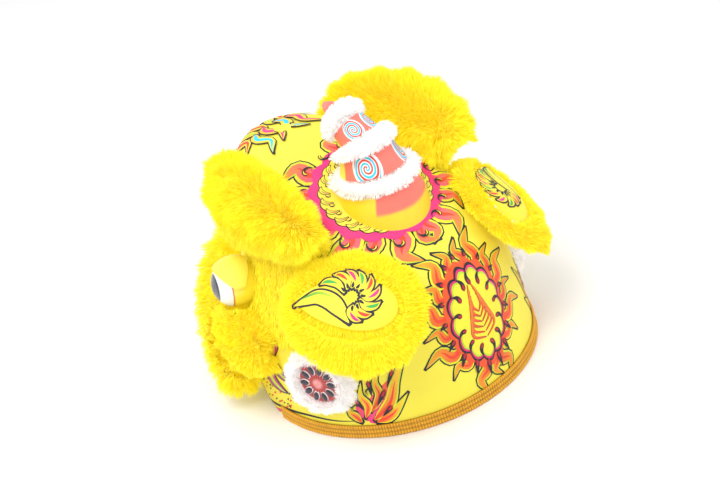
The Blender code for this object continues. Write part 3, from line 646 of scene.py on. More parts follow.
def node_triangles(names):
    """Corners and triangles of CAD solids, with doubles merged and smooth normals."""
    points, faces = [], []
    for name in names:
        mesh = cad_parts[name].data
        mesh.calc_loop_triangles()
        here = np.zeros(len(mesh.vertices) * 3)
        mesh.vertices.foreach_get("co", here)
        tris = np.zeros(len(mesh.loop_triangles) * 3, int)
        mesh.loop_triangles.foreach_get("vertices", tris)
        faces.append(tris.reshape(-1, 3) + sum(len(part) for part in points))
        points.append(here.reshape(-1, 3))
    points, faces = np.concatenate(points), np.concatenate(faces)
    _, first, same = np.unique(
        np.round(points / 2e-5).astype(int), axis=0, return_index=True, return_inverse=True
    )
    points, faces = points[first], same.ravel()[faces]
    faces = faces[(faces[:, 0] != faces[:, 1]) & (faces[:, 1] != faces[:, 2]) & (faces[:, 0] != faces[:, 2])]
    corners = points[faces]
    square = np.cross(corners[:, 1] - corners[:, 0], corners[:, 2] - corners[:, 0])
    normals = np.zeros_like(points)
    for corner in range(3):
        np.add.at(normals, faces[:, corner], square)
    return points, faces, unit(normals), square


def shell_distance(points):
    """Distance to the shell and the shell's normal there, by the nearest point of a fine grid."""
    angle, level = np.meshgrid(np.linspace(-np.pi, np.pi, 161)[:-1], np.linspace(0, 12.7, 110), indexing="ij")
    places, normals = shell_at(angle.ravel(), level.ravel()), shell_normal(angle.ravel(), level.ravel())
    found = [
        np.argmin(
            ((part[:, None] - places[None]) ** 2).sum(-1), 1
        ) for part in np.array_split(points, 1 + len(points) // 800)
    ]
    near = np.concatenate(found)
    return np.linalg.norm(points - places[near], axis=1), normals[near]


def shell_triangles(angles, levels):
    """The same for a patch of the shell's left side, between two angles and two levels."""
    angle, level = np.meshgrid(np.linspace(*angles, 40), np.linspace(*levels, 40), indexing="ij")
    points, normals = shell_at(angle, level).reshape(-1, 3), shell_normal(angle, level).reshape(-1, 3)
    quads = grid_faces(40, 40)
    faces = np.concatenate([quads[:, [0, 1, 2]], quads[:, [0, 2, 3]]])
    corners = points[faces]
    square = np.cross(corners[:, 1] - corners[:, 0], corners[:, 2] - corners[:, 0])
    return points, faces, normals, square


def grow_fur(name, form, nodes, body, material, slot, flow, length, seed, width=0.0010,
             rise=0.72, droop=0.10, clump=0.32, patch=30, shorten=None):
    """Long pile on a smaller copy of its solid. Roots fall evenly over the copy. A strand is a strip of
    two lengths on a curve: it leaves the skin square to it, bends to the way the fur lies and falls a
    little, and its tip leans to the tip of its lock, the strand that the others round it gather to.
    Pile that stands for no solid grows straight from the shell, with no skin of its own."""
    rng = np.random.default_rng(seed)
    count, inset = STRANDS[re.sub("_(left|right|lower|middle|upper)", "", name)]
    points, faces, normals, square = form
    skin = points
    area = np.linalg.norm(square, axis=1) / 2
    if nodes:
        gap, away = shell_distance(points)
        seated = (gap < 0.006) & ((normals * away).sum(-1) < 0.2)
        skin = points - normals * np.where(seated, 0.0, inset)[:, None]
        gap, away = shell_distance(points[faces].mean(1))
        area = np.where((gap < 0.007) & ((unit(square) * away).sum(-1) < -0.2), 0.0, area)
    chosen = rng.choice(len(faces), count, p=area / area.sum())
    mix = rng.dirichlet((1.0, 1.0, 1.0), count)
    root = np.einsum("nk,nkx->nx", mix, skin[faces[chosen]])
    out = unit(np.einsum("nk,nkx->nx", mix, normals[faces[chosen]]))
    way = flow(root, out)
    way = unit(way + rng.normal(0, 0.16, way.shape))
    long = length * rng.uniform(0.78, 1.12, count)[:, None]
    if shorten is not None:
        long = long * shorten(root)[:, None]
    fall = np.array([0, 0, -1.0])
    bend = root + long * (out * rise * 0.55 + way * (1 - rise) * 0.30)
    tip = root + long * unit(out * rise + way * (1 - rise) + fall * droop + rng.normal(0, 0.06, root.shape))
    heads = rng.choice(count, max(count // patch, 4), replace=False)
    mine = np.concatenate(
        [
            np.argmin(
                ((p[:, None] - root[heads][None]) ** 2).sum(-1), 1
            ) for p in np.array_split(root, 1 + count // 1500)
        ]
    )
    to = heads[mine]
    pull = clump * rng.uniform(0.6, 1.15, count)[:, None]
    shared = tip[to] + (root - root[to]) * 0.25
    tip = tip + (shared - tip) * np.clip(pull, 0, 0.9)
    bend = bend + (bend[to] + (root - root[to]) * 0.75 - bend) * 0.3
    t = np.array([0.0, 0.55, 1.0])[None, :, None]
    line = (1 - t) ** 2 * root[:, None] + 2 * t * (1 - t) * bend[:, None] + t**2 * tip[:, None]
    twist = rng.normal(0, 0.45, count)[:, None]
    along = unit(tip - root)
    side = unit(np.cross(along, out) + 1e-6)
    side = unit(side * np.cos(twist) + np.cross(along, side) * np.sin(twist))
    breadth = width * rng.uniform(0.7, 1.25, count)[:, None, None] * 0.9 / 2
    left = line[:, :2] - side[:, None] * breadth
    right = line[:, :2] + side[:, None] * breadth
    strands = np.concatenate([np.stack([left, right], 2).reshape(count, 4, 3), line[:, 2:]], 1)
    if not nodes:
        skin, faces = skin[:0], faces[:0]
    first = (np.arange(count) * 5)[:, None, None] + len(skin)
    quads = (np.array([[0, 1, 3, 2]])[None] + first).reshape(-1, 4)
    tris = (np.array([[2, 3, 4]])[None] + first).reshape(-1, 3)
    tone = np.clip(rng.uniform(0, 1, count) * 0.5 + rng.uniform(0, 1, count)[to] * 0.5, 0, 1)
    uv = np.stack([np.repeat(tone[:, None], 5, 1), np.broadcast_to([0, 0, 0.55, 0.55, 1], (count, 5))], -1)
    # The skin under the strands takes a colour part way from the root's to the middle's: painted shade under the
    # pile.
    uv = np.concatenate([np.broadcast_to([0.45, 0.22], (len(skin), 2)), uv.reshape(-1, 2)])
    made = make_mesh(
        name, np.concatenate([skin, strands.reshape(-1, 3)]), quads, np.concatenate([faces, tris]), along=uv
    )
    return dress(made, MATERIALS[material], body, slot, *nodes)


def both_sides(flow):
    """The same flow on the right side, mirrored in the middle plane."""
    return lambda root, out: flow(root * MIRROR, out * MIRROR) * MIRROR


# ---- sizes and colours a user would change


def length_of(name, about, value, low=0.001, high=0.2):
    return bpy.props.FloatProperty(
        name=name, description=about, default=value, min=low, max=high, unit="LENGTH", subtype="DISTANCE"
    )


def colour_of(name, about, value):
    return bpy.props.FloatVectorProperty(
        name=name, description=about, default=value, size=3, min=0, max=1, subtype="COLOR"
    )


class LionSizes(bpy.types.PropertyGroup):
    """Sizes of the finish."""

    brow_pile: length_of("Brow pile", "Length of the brows' fur", 0.024)
    ear_pile: length_of("Ear pile", "Length of the ears' fur", 0.0135)
    cheek_pile: length_of("Cheek pile", "Length of the cheeks' fur", 0.014)
    lip_pile: length_of("Lip pile", "Length of the lips' fur", 0.021)
    trim_pile: length_of("Trim pile", "Length of the white trims' fur", 0.009)
    gill_pile: length_of("Gill pile", "Length of the side ornaments' fur", 0.013)
    temple_pile: length_of("Temple pile", "Length of the fur between eye, ear and brow", 0.015)
    rib: length_of("Braid rib", "Distance from rib to rib of the braid", 0.0050)
    paint: length_of("Paint", "Height of each layer of paint", 0.0003, 0.00005, 0.002)


class LionColours(bpy.types.PropertyGroup):
    """Colours of the finish."""

    fur: colour_of("Fur", "Yellow of the fur", (1.0, 0.85, 0.005))
    shell: colour_of("Shell", "Ground colour of the shell", (0.98, 0.86, 0.07))
    coral: colour_of("Coral", "Coral of the horn and nose", (0.95, 0.20, 0.15))
    flame: colour_of("Flame", "Red of the flames", (0.90, 0.06, 0.02))
    pink: colour_of("Pink", "Pink at the flames' roots", (0.93, 0.03, 0.26))
    edge: colour_of("Edge", "Yellow green edge of the flames", (0.52, 0.80, 0.03))
    ink: colour_of("Ink", "Colour of the outlines", (0.012, 0.012, 0.02))
    cyan: colour_of("Cyan", "Blue of the swirls", (0.03, 0.62, 0.86))


# ---- pieces


class LION_OT_shell(bpy.types.Operator):
    """Smooth hollow shell of cloth and paper, with the mouth's arch in front"""

    bl_idname = "lion.shell"
    bl_label = "Shell"

    def execute(self, context):
        """Rings run from the lower edge to the crown, outside and inside, a wall's thickness apart."""
        columns, rings = 160, 64
        angle = (np.arange(columns) * 2 * np.pi / columns)[None]
        share = np.linspace(0, 1, rings)[:, None]
        start = level_at(mouth_edge(angle))
        level = start + (TOP_LEVEL - start) * share
        outer = shell_at(angle + 0 * share, level)
        normal = shell_normal(angle + 0 * share, level)
        inner = outer - normal * SHELL_WALL
        inner[0, :, 2] = outer[0, :, 2]
        outer[-1] = outer[-1].mean(0)
        inner[-1] = outer[-1] - np.array([0, 0, SHELL_WALL])
        points = np.concatenate([outer, inner])
        faces = np.concatenate(
            [
                grid_faces(rings, columns, wrap_columns=True),
                grid_faces(rings, columns, wrap_columns=True, first=rings * columns)[:, ::-1]
            ]
        )
        c = np.arange(columns)
        after = (c + 1) % columns
        edge = np.stack([c, c + rings * columns, after + rings * columns, after], -1)
        made = make_mesh("shell_skin", points, np.concatenate([faces, edge]), merge=1e-6, sharp=60)
        dress(made, MATERIALS["shell_cloth"], "head", "shell", "head_shell")
        return {"FINISHED"}


class LION_OT_braid(bpy.types.Operator):
    """Ribbed gold braid round the rim, with a rolled edge above and below"""

    bl_idname = "lion.braid"
    bl_label = "Rim braid"

    def execute(self, context):
        """A closed profile is carried round the rim. Its outside swells and sinks with each rib, and two creases
        run along it. Its colour is darker in the rib troughs, the creases and at the rolled edges: painted shade."""
        rib = context.scene.lion_sizes.rib
        steps = int(2 * BRAID_HALF_ANGLE * RIM_RADIUS / rib) * 5
        angle = np.linspace(-BRAID_HALF_ANGLE, BRAID_HALF_ANGLE, steps)[:, None]
        across = np.array(
            [0.0, 0.0, 0.06, 0.14, 0.24, 0.33, 0.42, 0.5, 0.58, 0.67, 0.76, 0.86, 0.94, 1.0, 1.0]
        )[None]
        face = np.array([0, 0.7, 1.1, 1.2, 0.9, 0.35, 0.9, 1.1, 0.9, 0.35, 0.9, 1.2, 1.1, 0.7, 0])[None]
        ribs = 0.40 + 0.60 * np.abs(np.cos(np.arange(steps) * np.pi / 5))[:, None]
        top = level_at(BRAID_HEIGHT)
        level = across * top + 0 * angle
        base, normal = shell_at(angle + 0 * across, level), shell_normal(angle + 0 * across, level)
        thick = 0.0006 + 0.0046 * face * np.where(face > 0.5, ribs, 1.0)
        points = base + normal * np.where(face > 0, thick, 0.0006)[..., None]
        points[:, :2, 2] = np.maximum(points[:, :2, 2], 0.0)
        points[..., 2] = np.maximum(points[..., 2], 0.0)
        points[0], points[-1] = points[0].mean(0), points[-1].mean(0)
        # Painted shade: the gold darkens towards a dark red in the rib troughs, the creases and the rolled edges.
        tone = (0.50 + 0.50 * (ribs - 0.4) / 0.6) * (0.45 + 0.55 * np.clip(face, 0, 1))
        paint = np.array([1.0, 0.50, 0.02]) * tone[..., None] + np.array([0.06, 0.0, 0.0]) * (1 - tone[..., None])
        made = make_mesh(
            "rim_braid", points, grid_faces(steps, across.shape[1], wrap_columns=True), paint=paint,
            merge=1e-7
        )
        dress(made, MATERIALS["braid_gold"], "head", "braid", "rim_band")
        return {"FINISHED"}


def horn_at(rows, angle, share):
    """A tier's surface and its outward directions: round sections along the leaning axis."""
    reach, rise, radius, lean = np.moveaxis(cubic_rows(rows, np.asarray(share) * (len(rows) - 1)), -1, 0)
    foot = np.interp(HORN_BASE_Y + SHELL_MIDDLE_Y, shell_at(np.zeros(1301), LEVELS)[::-1, 1], HEIGHTS[::-1])
    tilt = np.radians(lean)
    zero = np.zeros_like(tilt)
    centre = np.stack([zero, HORN_BASE_Y + SHELL_MIDDLE_Y - reach * HORN_REACH, foot + rise * HORN_RISE], -1)
    axis = np.stack([zero, -np.sin(tilt), np.cos(tilt)], -1)
    side = np.stack([zero + 1, zero, zero], -1)
    rear = np.cross(axis, side)
    outward = side * np.cos(angle)[..., None] + rear * np.sin(angle)[..., None]
    return centre + outward * (radius * HORN_RADIUS)[..., None], outward


class LION_OT_horn(bpy.types.Operator):
    """Stacked tiers of the horn, with a coral back and swirls on white flanks"""

    bl_idname = "lion.horn"
    bl_label = "Horn"

    def execute(self, context):
        """Each tier is a grid of angle by height, closed at both ends. A point's colour comes from its
        angle to the rear: coral within a stripe that widens downwards, and the flank's own beyond."""
        colours = context.scene.lion_colours
        coral = np.array(colours.coral)
        flanks = {
            "horn_lower": (1.0, 0.74, 0.03), "horn_middle": (0.97, 0.88, 0.10),
            "horn_upper": (0.97, 0.88, 0.10), "horn_tip": (0.95, 0.35, 0.42)
        }
        for name, rows in HORN_ROWS.items():
            columns = 216 if name == "horn_lower" else 96
            angle = (np.arange(columns) * 2 * np.pi / columns)[None]
            share = np.concatenate([[0, 0], np.linspace(0, 1, 28), [1, 1]])[:, None]
            share, angle = np.broadcast_arrays(share, angle)
            points = horn_at(rows, angle, share)[0]
            centre = points.mean(1, keepdims=True)
            points = points.copy()
            points[0], points[-1] = centre[0], centre[-1]
            from_rear = np.abs(np.mod(angle - np.pi / 2 + np.pi, 2 * np.pi) - np.pi)
            width = {
                "horn_lower": 0.92 - 0.10 * share, "horn_middle": 1.75 + 0 * share,
                "horn_upper": 1.9 + 0 * share
            }.get(name, 0 * share + 9)
            mask = 1 / (1 + np.exp((from_rear - width) * 150))[..., None]
            if name == "horn_lower":
                mask = mask / (1 + np.exp((0.44 + 0.05 * from_rear - share) * 90))[..., None]
            colour = coral * mask + np.array(flanks[name]) * (1 - mask)
            made = make_mesh(
                name + "_skin", points, grid_faces(*points.shape[:2], wrap_columns=True), paint=colour,
                merge=1e-7, sharp=50
            )
            dress(made, MATERIALS["horn_paint"], "head", "coral", name)
        self.swirls(colours)
        return {"FINISHED"}

    def swirls(self, colours):
        """Spirals on white discs: a radius that grows with the turn, laid on a tier by arc and height."""
        turn = np.linspace(0.2, 5.0 * np.pi, 17)
        for name, centres, size, tints in (
            ("horn_middle", ((0.72, 0.50), (np.pi - 0.72, 0.50)), 0.0235, ("flame", "cyan")),
            ("horn_upper", ((0.98, 0.42), (np.pi - 0.98, 0.42)), 0.0150, ("flame", "cyan")),
        ):
            rows = HORN_ROWS[name]
            radius = np.mean([row[2] for row in rows]) * HORN_RADIUS
            tall = (rows[-1][1] - rows[0][1]) * HORN_RISE
            if name == "horn_upper":
                tall *= 1.6

            def surface(flat, rows=rows, radius=radius, tall=tall):
                return horn_at(rows, flat[..., 0] / radius, np.clip(flat[..., 1] / tall, 0.01, 0.99))

            middles = np.array([(middle * radius, up * tall) for middle, up in centres])
            discs = np.concatenate(
                [ring_band((0.0, 0.0), (size * 1.08, size * 1.08), steps=61) + middle for middle in middles]
            )
            lay(name + "_disc", discs, None, 0.0003, (0.97, 0.95, 0.95), surface=surface)
            for order, tint in enumerate(tints):
                paths = []
                for spot, (middle, up) in zip(middles, centres):
                    hand = 1 if math.cos(middle) >= 0 else -1
                    around = turn * hand + order * np.pi
                    spread = (size * turn / turn[-1])[:, None]
                    paths.append(spot + np.stack([np.cos(around), np.sin(around)], -1) * spread)
                strips = brush(np.array(paths), [size * 0.135] * len(paths), 0.85, 90, 0.5)
                lay(
                    "%s_swirl_%d" % (name, order), strips, None, 0.0006 + 0.0003 * order,
                    tuple(getattr(colours, tint)), surface=surface
                )


def ring_band(inner, outer, waves=0, swell=0.0, steps=181):
    """A closed band in a flat view between two ovals, its outer edge in even scallops."""
    turn = np.linspace(0, 2 * np.pi, steps)
    way = np.stack([np.cos(turn), np.sin(turn)], -1)
    lobes = 1 + swell * np.abs(np.sin(turn * waves / 2)) if waves else np.ones(steps)
    inner, outer = np.array(inner), np.array(outer)
    share = np.linspace(0, 1, 5)[None, :, None]
    low, high = way * inner, way * outer * lobes[:, None]
    return (low[:, None] * (1 - share) + high[:, None] * share)[None]


class LION_OT_painting(bpy.types.Operator):
    """Flames, curls and dots painted on the shell in the traditional way"""

    bl_idname = "lion.painting"
    bl_label = "Shell painting"

    def execute(self, context):
        self.tints = context.scene.lion_colours
        self.step = context.scene.lion_sizes.paint
        self.gold = (1.0, 0.80, 0.02)
        self.pearl()
        self.collar()
        self.forehead()
        self.sides()
        self.strip()
        return {"FINISHED"}

    def tint(self, title):
        return tuple(getattr(self.tints, title))

    def flames(
        self, name, view, paths, widths, ink, both=False, lift=0.0, root="flame", tip=None, vein="flame"
    ):
        """Flames in four coats: a bold ink line, a green edge, a body from root to tip colour, a vein."""
        widths = np.asarray(widths, float)
        lay(
            name + "_line", brush(paths, widths, grow=ink), view, lift + self.step, self.tint("ink"),
            both=both
        )
        lay(
            name + "_edge", brush(paths, widths), view, lift + 2 * self.step, self.gold, self.tint("edge"),
            both=both
        )
        body = tip or self.gold
        lay(
            name + "_body", brush(paths, widths * 0.70), view, lift + 3 * self.step, self.tint(root), body,
            both=both
        )
        vein_paths = smooth_paths(paths, 13)[:, :9]
        lay(
            name + "_vein", brush(vein_paths, widths * 0.24, 0.35), view, lift + 4 * self.step,
            self.tint(vein), both=both
        )

    def drops(self, name, view, paths, widths, lift, both=False):
        """Teardrops: an ink tail that swells to a round head with a red heart."""
        widths = np.asarray(widths, float)
        lay(name + "_ink", brush(paths, widths, 0.80, blunt=0.10), view, lift, self.tint("ink"), both=both)
        hearts = smooth_paths(paths, 15)[:, 8:15]
        lay(
            name + "_heart", brush(hearts, widths * 0.52, 0.55, blunt=0.3), view, lift + self.step,
            (0.55, 0.01, 0.03), both=both
        )

    def curls(self, name, view, base, heading, size, hand, both=False, lift=0.0015, fat=0.46):
        """Comma curls in two coats: ink, and a small gold heart in the thick end."""
        paths = commas(base, heading, size, hand)
        size = np.asarray(size, float)
        lay(name + "_ink", brush(paths, size * fat, 0.22, blunt=0.5), view, lift, self.tint("ink"), both=both)
        lay(
            name + "_heart", brush(paths[:, :4], size * fat * 0.40, 0.45, blunt=0.3), view, lift + self.step,
            self.gold, both=both
        )

    def pearl(self):
        """Burning pearl at the rear: outer flames that lick upwards round a red field, a ring of petals
        with teardrops that point inwards, and a feathered bud in the middle."""
        point, _, up, out = shell_frame(0.0, level_at(0.152))
        view = flat_view(point, np.cross(up, out), up)
        count = 17
        turn = (np.arange(count) + 0.5) * 2 * np.pi / count + np.pi / 2
        way = np.stack([np.cos(turn), np.sin(turn)], -1)
        field = np.array([0.065, 0.095])
        odd = np.where(np.arange(count) % 2, 1.0, 0.74)
        lean = way + np.array([0, 0.62]) * np.where(way[:, 1:] > -0.8, 1.0, 0.0)
        long = (0.056 + 0.010 * np.abs(np.cos(turn))) * odd
        sway = -0.75 * np.where(np.cos(turn) > 0, 1.0, -1.0)
        self.flames(
            "pearl_outer", view, licks(way * field * 0.90, lean, long, sway), 0.0255 * odd, 0.0025,
            tip=(1.0, 0.42, 0.015)
        )
        lay(
            "pearl_field", ring_band((0.0, 0.0), field * 0.98, 17, 0.07), view, 0.0017, (0.98, 0.12, 0.02),
            (0.95, 0.07, 0.02)
        )
        between = turn + np.pi / count
        reach = np.stack([np.cos(between), np.sin(between)], -1)
        spots = np.stack(
            [reach * field * share + np.array([0, 0.004]) * k for k, share in enumerate((1.22, 1.10, 0.98))],
            1
        )
        self.drops("pearl_drop", view, spots, np.full(count, 0.0092), 0.0021)
        lay("petals_line", ring_band((0.0, 0.0), field * 0.86, 13, 0.115), view, 0.0021, self.tint("ink"))
        lay(
            "petals_pink", ring_band((0.0, 0.0), field * 0.815, 13, 0.112), view, 0.0024, self.tint("pink"),
            (0.75, 0.02, 0.10)
        )
        lay("petals_green", ring_band((0.0, 0.0), field * 0.775, 13, 0.108), view, 0.0027, self.tint("edge"))
        lay("petals", ring_band((0.0, 0.0), field * 0.740, 13, 0.104), view, 0.0030, (1.0, 0.86, 0.04))
        turn = np.arange(13) * 2 * np.pi / 13
        way = np.stack([np.cos(turn), np.sin(turn)], -1)
        side = np.stack([-way[:, 1], way[:, 0]], -1) * np.where(way[:, :1] > 0, 0.004, -0.004)
        inward = np.stack([way * field * 0.83, way * field * 0.70 + side, way * field * 0.56], 1)
        self.drops("petal_drop", view, inward, np.full(13, 0.0088), 0.0034)
        rows = np.arange(6)[:, None]
        bud = []
        for hand in (-1, 1):
            wide = hand * (0.0250 - 0.0032 * rows)
            low = -0.045 + 0.0100 * rows
            stops = ((0.10, 0.0), (1.0, 0.012), (0.95, 0.032), (0.40, 0.050))
            bud.append(np.stack([np.concatenate([wide * out, low + up], 1) for out, up in stops], 1))
        bud = np.concatenate(bud)
        lay("bud_line", brush(bud, np.full(12, 0.0042), 0.5, grow=0.0009), view, 0.0034, (0.45, 0.02, 0.01))
        lay("bud", brush(bud, np.full(12, 0.0042), 0.5), view, 0.0037, self.tint("flame"), (1.0, 0.30, 0.03))

    def collar(self):
        """Round the foot of the horn: a gold skirt, a ring of green crescents with curls, a pink band and
        flames that stream outwards."""
        centre = np.array([0, HORN_BASE_Y + SHELL_MIDDLE_Y - 0.004, 0.36])
        up = unit(np.array([0, -0.86, 0.50]))
        view = flat_view(centre, np.array([-1.0, 0, 0]), up)
        oval = np.array([1.0, 0.93])
        count = 17
        turn = (np.arange(count) + 0.5) * 2 * np.pi / count - np.pi / 2
        way = np.stack([np.cos(turn), np.sin(turn)], -1)
        side = np.stack([-way[:, 1], way[:, 0]], -1)
        hand = np.where(np.cos(turn) >= -1e-6, 1.0, -1.0)[:, None]
        odd = np.where(np.arange(count) % 2, 1.0, 0.78)
        long = (0.066 + 0.012 * np.abs(np.cos(turn))) * odd
        self.flames(
            "collar", view, licks(way * oval * 0.104, way - side * hand * 0.45, long, -0.8 * hand),
            0.041 * odd, 0.0027, root="pink", tip=(1.0, 0.30, 0.01), vein="flame"
        )
        lay(
            "collar_pink", ring_band(oval * 0.088, oval * 0.111, 17, 0.07), view, 0.0017, self.tint("pink"),
            (0.95, 0.03, 0.22)
        )
        curl_way = np.stack([np.cos(turn + 0.16), np.sin(turn + 0.16)], -1)
        self.curls(
            "collar_curl", view, curl_way * oval * 0.126, turn + 1.2, np.full(count, 0.0130), hand[:, 0],
            lift=0.0030
        )
        count = 24
        turn = (np.arange(count) + 0.5) * 2 * np.pi / count - np.pi / 2
        way = np.stack([np.cos(turn), np.sin(turn)], -1)
        side = np.stack([-way[:, 1], way[:, 0]], -1) * np.where(np.cos(turn) >= 0, 1.0, -1.0)[:, None]
        lay("skirt_line", ring_band(oval * 0.055, oval * 0.099, 24, 0.045), view, 0.0021, self.tint("ink"))
        lay(
            "skirt", ring_band(oval * 0.055, oval * 0.0975, 24, 0.042), view, 0.0024, (1.0, 0.74, 0.03),
            (1.0, 0.86, 0.10)
        )
        crescents = np.stack(
            [
                (way * 0.082 - side * 0.004) * oval, way * 0.091 * oval, (way * 0.096 + side * 0.007) * oval,
                (way * 0.095 + side * 0.014) * oval
            ],
            1
        )
        lay(
            "crescent_line", brush(crescents, np.full(count, 0.0062), 0.45, grow=0.0010), view, 0.0027,
            self.tint("ink")
        )
        lay(
            "crescent", brush(crescents, np.full(count, 0.0062), 0.45), view, 0.0030, self.tint("edge"),
            (0.95, 0.86, 0.05)
        )
        lay(
            "crescent_red", brush(crescents[:, :3], np.full(count, 0.0018), 0.45), view, 0.0033,
            self.tint("flame"), self.tint("pink")
        )
        self.curls(
            "skirt_curl", view, (way * 0.0815 - side * 0.007) * oval, turn + 2.6, np.full(count, 0.0062),
            np.where(np.cos(turn) >= 0, 1, -1), lift=0.0031
        )

    def forehead(self):
        """Rows of tongues in blue, red, orange and green between the brows, with curls."""
        point, _, up, out = shell_frame(np.pi, 11.0)
        view = flat_view(point, np.cross(up, out), up)
        names = ("flame", "cyan", "edge", "pink")
        order = 0
        for height, width, count in (
            (-0.058, 0.040, 5), (-0.026, 0.056, 7), (0.008, 0.050, 6), (0.040, 0.036, 4)
        ):
            x = np.linspace(-width, width, count)
            base = np.stack([x, height + 0.10 * np.abs(x)], -1)
            way = np.stack([x * 9, np.full(count, 1.0)], -1)
            sway = 0.9 * np.where(x > 0, -1.0, 1.0)
            paths = licks(base, way, np.full(count, 0.046), sway)
            lay(
                "tongue_line_%d" % order, brush(paths, np.full(count, 0.0175), grow=0.0017), view,
                0.0004 + 0.0008 * order, self.tint("ink")
            )
            lay(
                "tongue_gold_%d" % order, brush(paths, np.full(count, 0.0175)), view, 0.0007 + 0.0008 * order,
                (1.0, 0.50, 0.03), self.gold
            )
            for part in range(2):
                which = np.arange(part, count, 2)
                colour = self.tint(names[(order + 2 * part) % 4])
                lay(
                    "tongue_%d_%d" % (order, part), brush(paths[which], np.full(len(which), 0.0072)), view,
                    0.0010 + 0.0008 * order, colour
                )
            order += 1
        spots = np.array([(x, y) for y in (-0.070, -0.040, -0.006) for x in (-0.060, -0.020, 0.020, 0.060)])
        self.curls(
            "forehead_curl", view, spots, np.pi / 2 - 0.6 * np.sign(spots[:, 0]), np.full(12, 0.0095),
            np.sign(spots[:, 0]), lift=0.0042
        )

    def sides(self):
        """Flames that rise behind the side ornaments, and the scroll before them, in picture pixels."""
        view = picture_view()
        ground = np.array(
            [
                ((108, 187), (113, 182), (117, 175), (120, 167)),
                ((110, 188), (114, 185), (119, 182), (123, 178)),
                ((105, 187), (106, 182), (105, 177), (104, 172))
            ],
            float
        )
        lay(
            "side_ground", brush(ground, [12.0, 9.0, 7.0], 0.35), view, 0.0002, self.tint("pink"),
            (0.98, 0.15, 0.02), both=True
        )
        rows = (
            ((112.5, 187), (120.5, 179), (123.5, 167), (129, 153)),
            ((114, 188), (121, 185), (125, 181), (130, 174)),
            ((111, 183), (115, 175), (112.5, 168), (115, 158.5)),
            ((108, 186), (109, 180), (105, 175), (105, 168)),
            ((106, 188), (102.5, 185), (99.5, 183), (98, 178)),
        )
        self.flames("side", view, np.array(rows, float), np.array([6.6, 5.6, 4.6, 4.2, 3.8]), 0.75, both=True)
        drops = np.array(
            [
                ((114, 180), (116, 176), (118, 172)), ((117, 185), (119.5, 182.5), (122, 180)),
                ((111, 175), (110, 171), (108.5, 167)), ((107, 182), (104.5, 179), (102, 177)),
                ((119, 171), (120.5, 166), (122.5, 161))
            ],
            float
        )
        self.drops("side_drop", view, drops, np.array([2.6, 2.4, 2.6, 2.3, 2.4]), 0.0021, both=True)
        spots = np.array(((106.5, 163.0), (109.0, 174.0), (101.5, 182.0)))
        self.curls(
            "side_curl", view, spots, np.array([2.6, 2.4, 2.6]), np.full(3, 2.5), np.array([1, 1, 1]), True,
            lift=0.0024
        )
        scroll = np.array(
            (
                ((45.5, 151), (50, 147), (57, 147.5), (56, 154), (62, 163), (67, 167)),
                ((47, 153), (51, 157), (55, 161), (58, 166), (62, 170), (65, 172))
            ),
            float
        )
        lay(
            "scroll_line", brush(scroll, [5.0, 3.6], 0.4, 24, grow=0.45), view, 0.0005, self.tint("ink"),
            both=True
        )
        lay(
            "scroll", brush(scroll, [5.0, 3.6], 0.4, 24), view, 0.0008, self.tint("pink"), (0.35, 0.06, 0.30),
            both=True
        )
        lay("scroll_light", brush(scroll, [2.0, 1.4], 0.4, 24), view, 0.0011, self.tint("edge"), both=True)

    def strip(self):
        """Freckled strip over the rim in front, between an ink line and a red one."""
        view = picture_view()
        line = np.array(
            [[(35.3, 155.3), (44.2, 164), (51, 172.5), (63.4, 179.5), (76, 183.5), (92, 187), (109, 187.5)]]
        )
        lay("strip_line", brush(line, [1.0], 0.5, 60, 0.8), view, 0.0004, self.tint("ink"), both=True)
        red = np.array([[(43.5, 168.5), (50, 175), (58, 179.5), (67, 182.5)]])
        lay(
            "strip_red", brush(red, [2.2], 0.5, 30, 0.5), view, 0.0005, self.tint("flame"), self.tint("pink"),
            both=True
        )
        rng = np.random.default_rng(12)
        along, over = rng.uniform(0, 1, 70), rng.uniform(0.12, 1, 70)
        place = smooth_paths(line, 200)[0][(along * 115).astype(int)]
        spots = place + np.stack([over * 3.0, -over * (7.0 + 6.0 * (1 - along))], -1)
        for tint, part in (("ink", slice(0, 40)), ("flame", slice(40, 70))):
            here = spots[part]
            dots = here[:, None] + np.array(
                [(-0.55, 0), (0, 0.05), (0.55, 0)]
            )[None] * rng.uniform(0.5, 1.1, (len(here), 1, 1))
            lay(
                "freckles_" + tint, brush(dots, rng.uniform(0.7, 1.2, len(here)), 0.5, 7, 0.5), view, 0.0004,
                self.tint(tint), both=True
            )


def ear_frame():
    """Centre and directions of the left ear: rearward, downward and its facing."""
    point, _, _, out = shell_frame(EAR_ANGLE, EAR_LEVEL)
    normal = unit(EAR_FACING)
    rearward = unit(np.array(EAR_POINTING) - normal * (np.array(EAR_POINTING) @ normal))
    downward = unit(np.cross(rearward, normal))
    return point + out * EAR_STAND_OFF, rearward, downward if downward[2] < 0 else -downward, normal


def ear_place(flat, height):
    """A flat point of the ear on its dished board."""
    centre, rearward, downward, normal = ear_frame()
    bend = height - EAR_BEND * (flat**2).sum(-1) / (EAR_LENGTH / 2) ** 2
    return centre + flat[..., :1] * rearward + flat[..., 1:] * downward + bend[..., None] * normal


